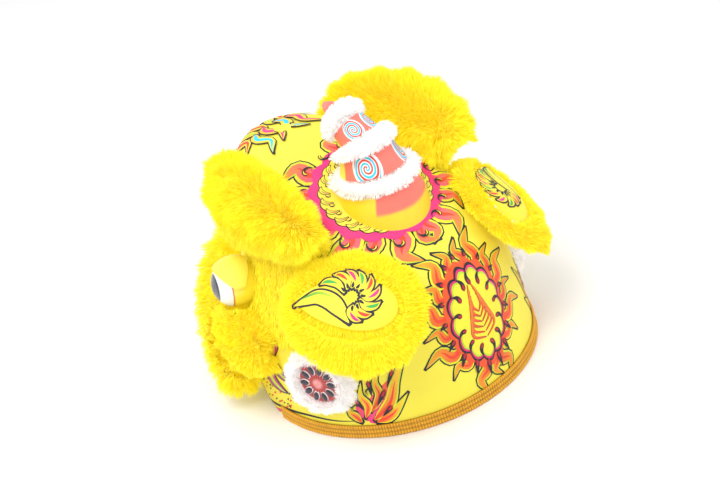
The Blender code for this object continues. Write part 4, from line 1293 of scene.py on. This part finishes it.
class LION_OT_ears(bpy.types.Operator):
    """Leaf shaped ear boards with painted petals"""

    bl_idname = "lion.ears"
    bl_label = "Ears"

    def execute(self, context):
        """The board is a leaf outline shrunk to its middle on both faces, with the dish of the ear."""
        tints = context.scene.lion_colours
        turn = (np.arange(96) * 2 * np.pi / 96)[None]
        scale = np.array([0, 0.3, 0.6, 0.85, 0.97, 1.0, 0.97, 0.85, 0.6, 0.3, 0])[:, None]
        height = np.array([-0.5, -0.5, -0.5, -0.5, -0.5, 0, 0.5, 0.5, 0.5, 0.5, 0.5])[:, None] * EAR_BOARD
        leaf = np.stack(
            [EAR_LENGTH / 2 * np.cos(turn), EAR_WIDTH / 2 * (0.80 + 0.20 * np.cos(turn)) * np.sin(turn)], -1
        )
        flat = leaf * scale[..., None]
        lift = 0.25 * EAR_FUR_THICKNESS
        points = ear_place(flat, lift + height + 0 * turn)
        normal = ear_frame()[3]
        for side, mirror in (("left", np.ones(3)), ("right", MIRROR)):
            made = make_mesh(
                "ear_leaf_" + side, points * mirror, grid_faces(11, 96, wrap_columns=True), merge=1e-7,
                sharp=50
            )
            dress(made, MATERIALS["ear_cloth"], side + "_ear", "shell", "ear_" + side)

        centre, rearward, downward, normal = ear_frame()

        def surface(pixels):
            """Picture pixels cast along the view on the ear's plane, then set on its dished face."""
            seen = (pixels - VIEW_MIDDLE) / VIEW_PIXELS
            ray = VIEW_AHEAD + seen[..., :1] * VIEW_RIGHT - seen[..., 1:] * VIEW_UP
            far = ((centre - CAMERA_PLACE) @ normal) / (ray @ normal)
            spot = CAMERA_PLACE + ray * far[..., None] - centre
            flat = np.stack([spot @ rearward, spot @ downward], -1)
            return ear_place(
                flat, np.full(flat.shape[:-1], lift + EAR_BOARD / 2)
            ), np.broadcast_to(normal, flat.shape[:-1] + (3,))

        horn = np.array(
            [((68.5, 127.5), (75, 125.5), (82, 124.0), (89, 126.5), (94.5, 131.5), (99.5, 138.5))]
        )
        self.coat(
            "ear_horn_line", brush(horn, [8.5], 0.66, 40, 0.06, 1.05), surface, 0.0003, tuple(tints.ink), None
        )
        self.coat("ear_horn", brush(horn, [8.5], 0.66, 40, 0.06), surface, 0.0006, (1.0, 0.86, 0.04), None)
        green = np.array([((72, 124.6), (77, 122.9), (82, 121.9), (87, 123.0), (92, 125.8))])
        self.coat(
            "ear_green", brush(green, [1.5], 0.45, 24), surface, 0.0009, (0.03, 0.35, 0.05), tuple(tints.edge)
        )
        hub = np.array([101.0, 125.0])
        turn = np.radians(np.array([-152, -124, -96, -68, -40, -12, 18, 48, 76]))
        way = np.stack([np.cos(turn), np.sin(turn)], -1)
        reach = np.array([19.0, 15.5, 14.0, 13.5, 14.5, 15.5, 15.5, 14.0, 13.5])
        side = np.stack([-way[:, 1], way[:, 0]], -1)
        plumes = hub + np.stack(
            [
                way * 4.5, way * reach[:, None] * 0.55 + side * 2.6, way * reach[:, None] * 0.85 + side * 1.2,
                way * reach[:, None] - side * 1.8
            ],
            1
        )
        self.coat(
            "plume_line", brush(plumes, np.full(9, 4.3), 0.4, 24, 0.2, 0.85), surface, 0.0007,
            tuple(tints.ink), None
        )
        self.coat(
            "plume", brush(plumes, np.full(9, 4.3), 0.4, 24, 0.2), surface, 0.0010, (1.0, 0.86, 0.04),
            (1.0, 0.72, 0.03)
        )
        for title, part, colour in (
            ("green", slice(0, None, 3), (0.05, 0.50, 0.08)), ("red", slice(1, None, 3), tuple(tints.flame)),
            ("pink", slice(2, None, 3), tuple(tints.pink))
        ):
            touches = smooth_paths(plumes[part], 13)[:, 4:12]
            self.coat(
                "plume_" + title, brush(touches, np.full(len(touches), 1.7), 0.5, 12), surface, 0.0013,
                colour, None
            )
        heads = hub + np.stack([way * 7.4 + side * 1.6, way * 5.8 + side * 1.2, way * 4.6 + side * 0.4], 1)
        self.coat(
            "plume_head", brush(heads, np.full(9, 1.5), 0.6, 9, 0.3), surface, 0.0014, tuple(tints.ink), None
        )
        return {"FINISHED"}

    def coat(self, name, strips, surface, lift, colour, tip):
        """One coat of paint on both ears, each its own piece, since each ear moves by itself."""
        for side, mirror in (("left", None), ("right", MIRROR)):
            def place(flat):
                points, normals = surface(flat)
                return (points, normals) if mirror is None else (points * mirror, normals * mirror)

            made = lay(name + "_" + side, strips, None, lift, colour, tip, surface=place)
            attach(made, side + "_ear")


class LION_OT_eyes(bpy.types.Operator):
    """Glossy eyes with a red rim and dark iris, under smooth lids"""

    bl_idname = "lion.eyes"
    bl_label = "Eyes and lids"

    def execute(self, context):
        """An eye is a ball whose colour depends on the angle from where it looks. A lid is a dome of
        angle by lift, outside and inside, a little larger than the eye."""
        point, _, _, out = shell_frame(EYE_ANGLE, EYE_LEVEL)
        level_axis = unit(np.array([-out[1], out[0], 0]))
        facing = unit(np.array([out[0], out[1], 0.12]))
        top = np.cross(level_axis, facing)
        top = top if top[2] > 0 else -top
        centre = point + out * EYE_STAND_OFF
        polar = np.linspace(0, np.pi, 65)[:, None]
        turn = (np.arange(64) * 2 * np.pi / 64)[None]
        ball = facing * np.cos(polar)[..., None] + (
            level_axis * np.cos(turn)[..., None] + top * np.sin(turn)[..., None]
        ) * np.sin(polar)[..., None]
        bands = (
            (0, (0.01, 0.01, 0.012)), (0.30, (0.10, 0.10, 0.12)), (0.52, (0.02, 0.02, 0.03)),
            (0.60, (0.93, 0.93, 0.91)), (1.22, (0.60, 0.03, 0.02)), (1.27, (1.0, 0.85, 0.06))
        )
        paint = np.zeros(ball.shape) + np.array(bands[-1][1])
        for (low, colour), (high, _) in reversed(list(zip(bands[:-1], bands[1:]))):
            paint = np.where(
                ((polar >= low) & (polar < high))[..., None] & np.ones(ball.shape, bool), np.array(colour),
                paint
            )
        lift = np.radians(42 + 78 * np.linspace(0, 1, 26))[None]
        spread = np.radians(np.linspace(12, 168, 52))[:, None]
        dome = level_axis * np.cos(spread)[..., None] + (
            facing * np.cos(lift)[..., None] + top * np.sin(lift)[..., None]
        ) * np.sin(spread)[..., None]
        outside, inside = centre + dome * (
            EYE_RADIUS + LID_GAP + LID_WALL
        ), centre + dome * (EYE_RADIUS + LID_GAP)
        lid = np.concatenate([outside, inside[:, ::-1]], 1)
        lid[0], lid[-1] = lid[0].mean(0), lid[-1].mean(0)
        for side, mirror in (("left", np.ones(3)), ("right", MIRROR)):
            points = (centre + ball * EYE_RADIUS) * mirror
            made = make_mesh(
                "eye_ball_" + side, points, grid_faces(65, 64, wrap_columns=True), paint=paint, merge=1e-7
            )
            dress(made, MATERIALS["gloss_paint"], "head", "eye", "eye_" + side)
            made = make_mesh(
                "lid_dome_" + side, lid * mirror, grid_faces(52, 52, wrap_columns=True), merge=1e-7, sharp=50
            )
            dress(made, MATERIALS["lid_cloth"], side + "_lid", "shell", "eyelid_" + side)
        return {"FINISHED"}


class LION_OT_gills(bpy.types.Operator):
    """Beaded coral discs at the sides, with a white ring of fur"""

    bl_idname = "lion.gills"
    bl_label = "Side ornaments"

    def execute(self, context):
        """A low dome with radial grooves carries a ring of ten white beads with dark hearts."""
        tints = context.scene.lion_colours
        point, forward, up, out = shell_frame(GILL_ANGLE, GILL_LEVEL)
        radius = GILL_DISC / 2
        turn = (np.arange(120) * 2 * np.pi / 120)[None]
        share = np.array([0, 0.15, 0.3, 0.45, 0.6, 0.72, 0.84, 0.93, 0.98, 1.0, 1.0, 0.0])[:, None]
        height = np.array([1.3, 1.27, 1.2, 1.12, 1.05, 1.0, 0.95, 0.85, 0.7, 0.45, -1.2, -1.2])[:, None]
        groove = 0.07 * np.cos(turn * 20) * np.where((share > 0.1) & (share < 0.9) & (height > 0), 1, 0)
        around = forward * np.cos(turn)[..., None] + up * np.sin(turn)[..., None]
        disc = point + around * (radius * share)[..., None] + out * (
            (height + groove) * GILL_DISC_THICKNESS
        )[..., None]
        coral = np.array(tints.coral) * np.array([0.72, 0.45, 0.55])
        colour = coral * (
            1 - 0.45 * (np.cos(turn * 20) > 0.2)[..., None] * (share < 0.9)[..., None]
        ) + 0 * disc
        colour = np.where((share < 0.16)[..., None], np.array([0.95, 0.45, 0.45]), colour)
        ten = np.arange(10) * 2 * np.pi / 10
        spoke = forward * np.cos(ten)[:, None] + up * np.sin(ten)[:, None]
        ring = np.cross(out, spoke)
        axes = np.stack([spoke, ring, np.broadcast_to(out, spoke.shape)], 1)
        high = point + spoke * radius * 0.67 + out * GILL_DISC_THICKNESS * 1.05
        for side, mirror in (("left", np.ones(3)), ("right", MIRROR)):
            made = make_mesh(
                "gill_plate_" + side, disc * mirror, grid_faces(12, 120, wrap_columns=True), paint=colour,
                merge=1e-7, sharp=50
            )
            dress(made, MATERIALS["horn_paint"], "head", "coral", "gill_disc_" + side)
            centres = np.concatenate([high, high + out * 0.0012 + spoke * 0.0006]) * mirror
            sizes = np.array([(0.0100, 0.0066, 0.0024)] * 10 + [(0.0088, 0.0055, 0.0024)] * 10)
            tone = np.array([(0.93, 0.88, 0.90)] * 10 + [(0.02, 0.012, 0.03)] * 10)
            made = ellipsoids(
                "gill_beads_" + side, centres, np.concatenate([axes, axes]) * mirror, sizes, 8, 14, tone
            )
            dress(made, MATERIALS["gloss_paint"], "head", "coral")
        return {"FINISHED"}


class LION_OT_mouth(bpy.types.Operator):
    """Nose, jaw and tongue"""

    bl_idname = "lion.mouth"
    bl_label = "Nose and mouth"

    def execute(self, context):
        """The nose is three joined swellings round a ball, with two dark nostrils: dark ellipsoids that stand in
        for painted shade in nostril hollows. Jaw and tongue keep their solids and get painted cloth."""
        low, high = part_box("nose")
        centre = (np.array(low) + np.array(high)) / 2
        half = (np.array(high) - np.array(low)) / 2
        polar = np.linspace(0, np.pi, 49)[:, None]
        turn = (np.arange(72) * 2 * np.pi / 72)[None]
        ball = np.stack(
            [np.sin(polar) * np.cos(turn), np.cos(polar) + 0 * turn, np.sin(polar) * np.sin(turn)], -1
        )
        wing = np.exp(-((np.abs(ball[..., 0]) - 0.75) ** 2 + (ball[..., 2] + 0.35) ** 2) / 0.12)
        pinch = 0.12 * np.exp(-((np.abs(ball[..., 0]) - 0.42) ** 2) / 0.01) * (ball[..., 1] < 0)
        points = centre + ball * half * (0.90 + 0.12 * wing - pinch)[..., None]
        made = make_mesh("nose_form", points, grid_faces(49, 72, wrap_columns=True), merge=1e-7)
        dress(made, MATERIALS["nose_cloth"], "head", "coral", "nose")
        # Painted shade: near-black ellipsoids where the nostrils' hollows would lie in shadow.
        dark = centre + np.array(
            [(side * half[0] * 0.40, -half[1] * 0.66, -half[2] * 0.36) for side in (-1, 1)]
        )
        axes = np.broadcast_to(np.eye(3), (2, 3, 3))
        made = ellipsoids(
            "nostrils", dark, axes, [(0.010, 0.008, 0.006)] * 2, 12, 20, [(0.02, 0.01, 0.012)] * 2
        )
        dress(made, MATERIALS["horn_paint"], "head", "coral")
        for name, finish in (("jaw", "red_cloth"), ("tongue", "tongue_cloth")):
            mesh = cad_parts[name].data
            mesh.materials.clear()
            mesh.materials.append(MATERIALS[finish])
        return {"FINISHED"}


class LION_OT_fur(bpy.types.Operator):
    """Long yellow fur of the brows, cheeks, lips, jaw and ears, and the white trims"""

    bl_idname = "lion.fur"
    bl_label = "Fur"

    def execute(self, context):
        sizes = context.scene.lion_sizes
        yellow = ("yellow_fur", "yellow_fur")
        white = ("white_fur", "white_fur")

        def from_spine(nodes, half):
            """Away from a level line through the middle of the piece, and a little to the rear."""
            low, high = (np.array(corner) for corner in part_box(nodes))
            centre = (low + high) / 2

            def flow(root, out):
                away = root - centre
                away[:, 1] -= np.clip(away[:, 1], -half, half)
                way = unit(away) + np.array([0, 0.25, -0.10])
                return way - out * (way * out).sum(-1, keepdims=True) * 0.6

            return flow

        for side, turn in (("left", False), ("right", True)):
            def handed(flow):
                return both_sides(flow) if turn else flow

            def pile(name, node_name, moves, flow, *values, **more):
                nodes = [node_name + "_" + side]
                grow_fur(
                    name + "_" + side, node_triangles(nodes), nodes, moves, *flow[0], handed(flow[1]),
                    *values, **more
                )

            pile("brow_hair", "brow", "head", (yellow, from_spine("brow_left", 0.10)), sizes.brow_pile, 21)
            pile(
                "cheek_hair", "cheek", "head", (yellow, from_spine("cheek_left", 0.05)), sizes.cheek_pile, 23,
                droop=0.06
            )
            centre, rearward, downward, normal = ear_frame()

            def fringe(root, out):
                away = root - centre
                away = unit(away - normal * (away @ normal)[:, None])
                inner = (out * away).sum(-1, keepdims=True) < -0.15
                return np.where(inner, -1.6 * away, away + np.array([0, 0, -0.15]))

            pile(
                "ear_hair", "ear_fur", side + "_ear", (yellow, fringe), sizes.ear_pile, 25, rise=0.62,
                droop=0.04, clump=0.22
            )
            point, _, _, outward = shell_frame(GILL_ANGLE, GILL_LEVEL)

            def ringed(root, out):
                away = root - point
                return unit(away - outward * (away @ outward)[:, None])

            pile(
                "gill_hair", "gill_fur", "head", (white, ringed), sizes.gill_pile, 27, width=0.0009, rise=0.6,
                droop=0.0
            )
            form = shell_triangles((math.radians(54.0), math.radians(128.0)), (3.2, 7.6))
            if turn:
                form = (form[0] * MIRROR, form[1], form[2] * MIRROR, form[3] * MIRROR)

            def thin(root):
                angle = np.arctan2(np.abs(root[:, 0]), root[:, 1] - SHELL_MIDDLE_Y)
                level = level_at(root[:, 2])
                far = ((angle - math.radians(91.0)) / math.radians(37.0)) ** 2 + ((level - 5.3) / 2.3) ** 2
                return 0.35 + 0.65 * np.clip(1.5 - 1.3 * far, 0, 1)

            def lying(root, out):
                return unit(np.array([0.1, 0.45, -0.6]) - out * 0.2)

            grow_fur(
                "temple_hair_" + side, form, [], "head", *yellow, handed(lying), sizes.temple_pile, 29,
                rise=0.5, shorten=thin
            )

        def lip(root, out):
            way = out * np.array([1.0, 1.0, 0.3]) + np.array([0, 0, -0.7])
            return unit(way)

        grow_fur(
            "lip_hair", node_triangles(["lip_fur"]), ["lip_fur"], "head", *yellow, lip, sizes.lip_pile, 31
        )
        grow_fur(
            "jaw_hair", node_triangles(["jaw_fur"]), ["jaw_fur"], "lower_jaw", *yellow, lip,
            sizes.lip_pile * 0.5, 33, droop=0.05
        )
        for seed, name in enumerate(("horn_trim_lower", "horn_trim_middle", "horn_trim_upper")):
            low, high = (np.array(corner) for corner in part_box(name))
            centre = (low + high) / 2

            def around(root, out, centre=centre):
                return unit(root - centre) + np.array([0, 0, 0.15])

            grow_fur(
                name + "_hair", node_triangles([name]), [name], "head", *white, around, sizes.trim_pile,
                41 + seed, width=0.0008, rise=0.8, droop=0.0
            )
        return {"FINISHED"}


class LION_OT_stage(bpy.types.Operator):
    """Plain floor, soft studio light and the camera"""

    bl_idname = "lion.stage"
    bl_label = "Stage"

    def execute(self, context):
        scene = context.scene
        floor = make_mesh(
            "floor", np.array([(-6, -6, 0), (6, -6, 0), (6, 6, 0), (-6, 6, 0)]) - np.array([0, 0, 0.0002]),
            [[0, 1, 2, 3]]
        )
        made = principled("floor_white", Roughness=0.9, Base_Color=(0.92, 0.92, 0.92, 1))[0]
        floor.data.materials.append(made)
        world = scene.world or bpy.data.worlds.new("world")
        scene.world = world
        world.use_nodes = True
        world.node_tree.nodes["Background"].inputs["Color"].default_value = (1, 1, 1, 1)
        world.node_tree.nodes["Background"].inputs["Strength"].default_value = 0.84
        for name, place, power, size in (
            ("key_light", (1.2, 0.6, 2.6), 40.0, 1.6),
            ("fill_light", (-1.8, 1.4, 1.8), 13.0, 2.4),
            ("front_light", (0.4, -2.4, 1.6), 14.0, 2.4),
        ):
            light = bpy.data.objects.new(name, bpy.data.lights.new(name, "AREA"))
            light.data.energy = power
            light.data.size = size
            light.location = place
            light.rotation_mode = "QUATERNION"
            light.rotation_quaternion = (Vector((0, 0, 0.25)) - Vector(place)).to_track_quat("-Z", "Y")
            scene.collection.objects.link(light)
        scene.view_settings.view_transform = "Standard"
        self.camera(scene)
        return {"FINISHED"}

    def camera(self, scene):
        """From the picture's own viewpoint, turned and closed in on the middle of the head."""
        aim = np.array([0.0, 0.03, 0.235])
        ahead = unit(aim - CAMERA_PLACE)
        right = unit(np.cross(ahead, VIEW_UP))
        up = np.cross(right, ahead)
        lens = bpy.data.cameras.new("camera")
        lens.lens = 74.0
        made = bpy.data.objects.new("camera", lens)
        turn = Matrix([list(row) for row in np.column_stack([right, up, -ahead])]).to_4x4()
        made.matrix_world = Matrix.Translation(Vector(CAMERA_PLACE)) @ turn
        scene.collection.objects.link(made)
        scene.camera = made


PIECES = (
    LION_OT_shell,
    LION_OT_painting,
    LION_OT_braid,
    LION_OT_horn,
    LION_OT_ears,
    LION_OT_eyes,
    LION_OT_gills,
    LION_OT_mouth,
    LION_OT_fur,
    LION_OT_stage,
)


class LION_PT_panel(bpy.types.Panel):
    """Lists the head's sizes, colours and pieces"""

    bl_idname = "LION_PT_panel"
    bl_label = "Lion Head"
    bl_space_type = "VIEW_3D"
    bl_region_type = "UI"
    bl_category = "Lion Head"

    def draw(self, context):
        column = self.layout.column()
        for group in (context.scene.lion_sizes, context.scene.lion_colours):
            for title in type(group).__annotations__:
                column.prop(group, title)
        for piece in PIECES:
            column.operator(piece.bl_idname)


CLASSES = (LionSizes, LionColours) + PIECES + (LION_PT_panel,)


def register():
    for made in CLASSES:
        bpy.utils.register_class(made)
    bpy.types.Scene.lion_sizes = bpy.props.PointerProperty(type=LionSizes)
    bpy.types.Scene.lion_colours = bpy.props.PointerProperty(type=LionColours)


def unregister():
    del bpy.types.Scene.lion_colours
    del bpy.types.Scene.lion_sizes
    for made in reversed(CLASSES):
        bpy.utils.unregister_class(made)


def main():
    """Makes every piece in order."""
    register()
    make_materials()
    for piece in PIECES:
        group, name = piece.bl_idname.split(".")
        getattr(getattr(bpy.ops, group), name)()


if __name__ == "__main__":
    main()
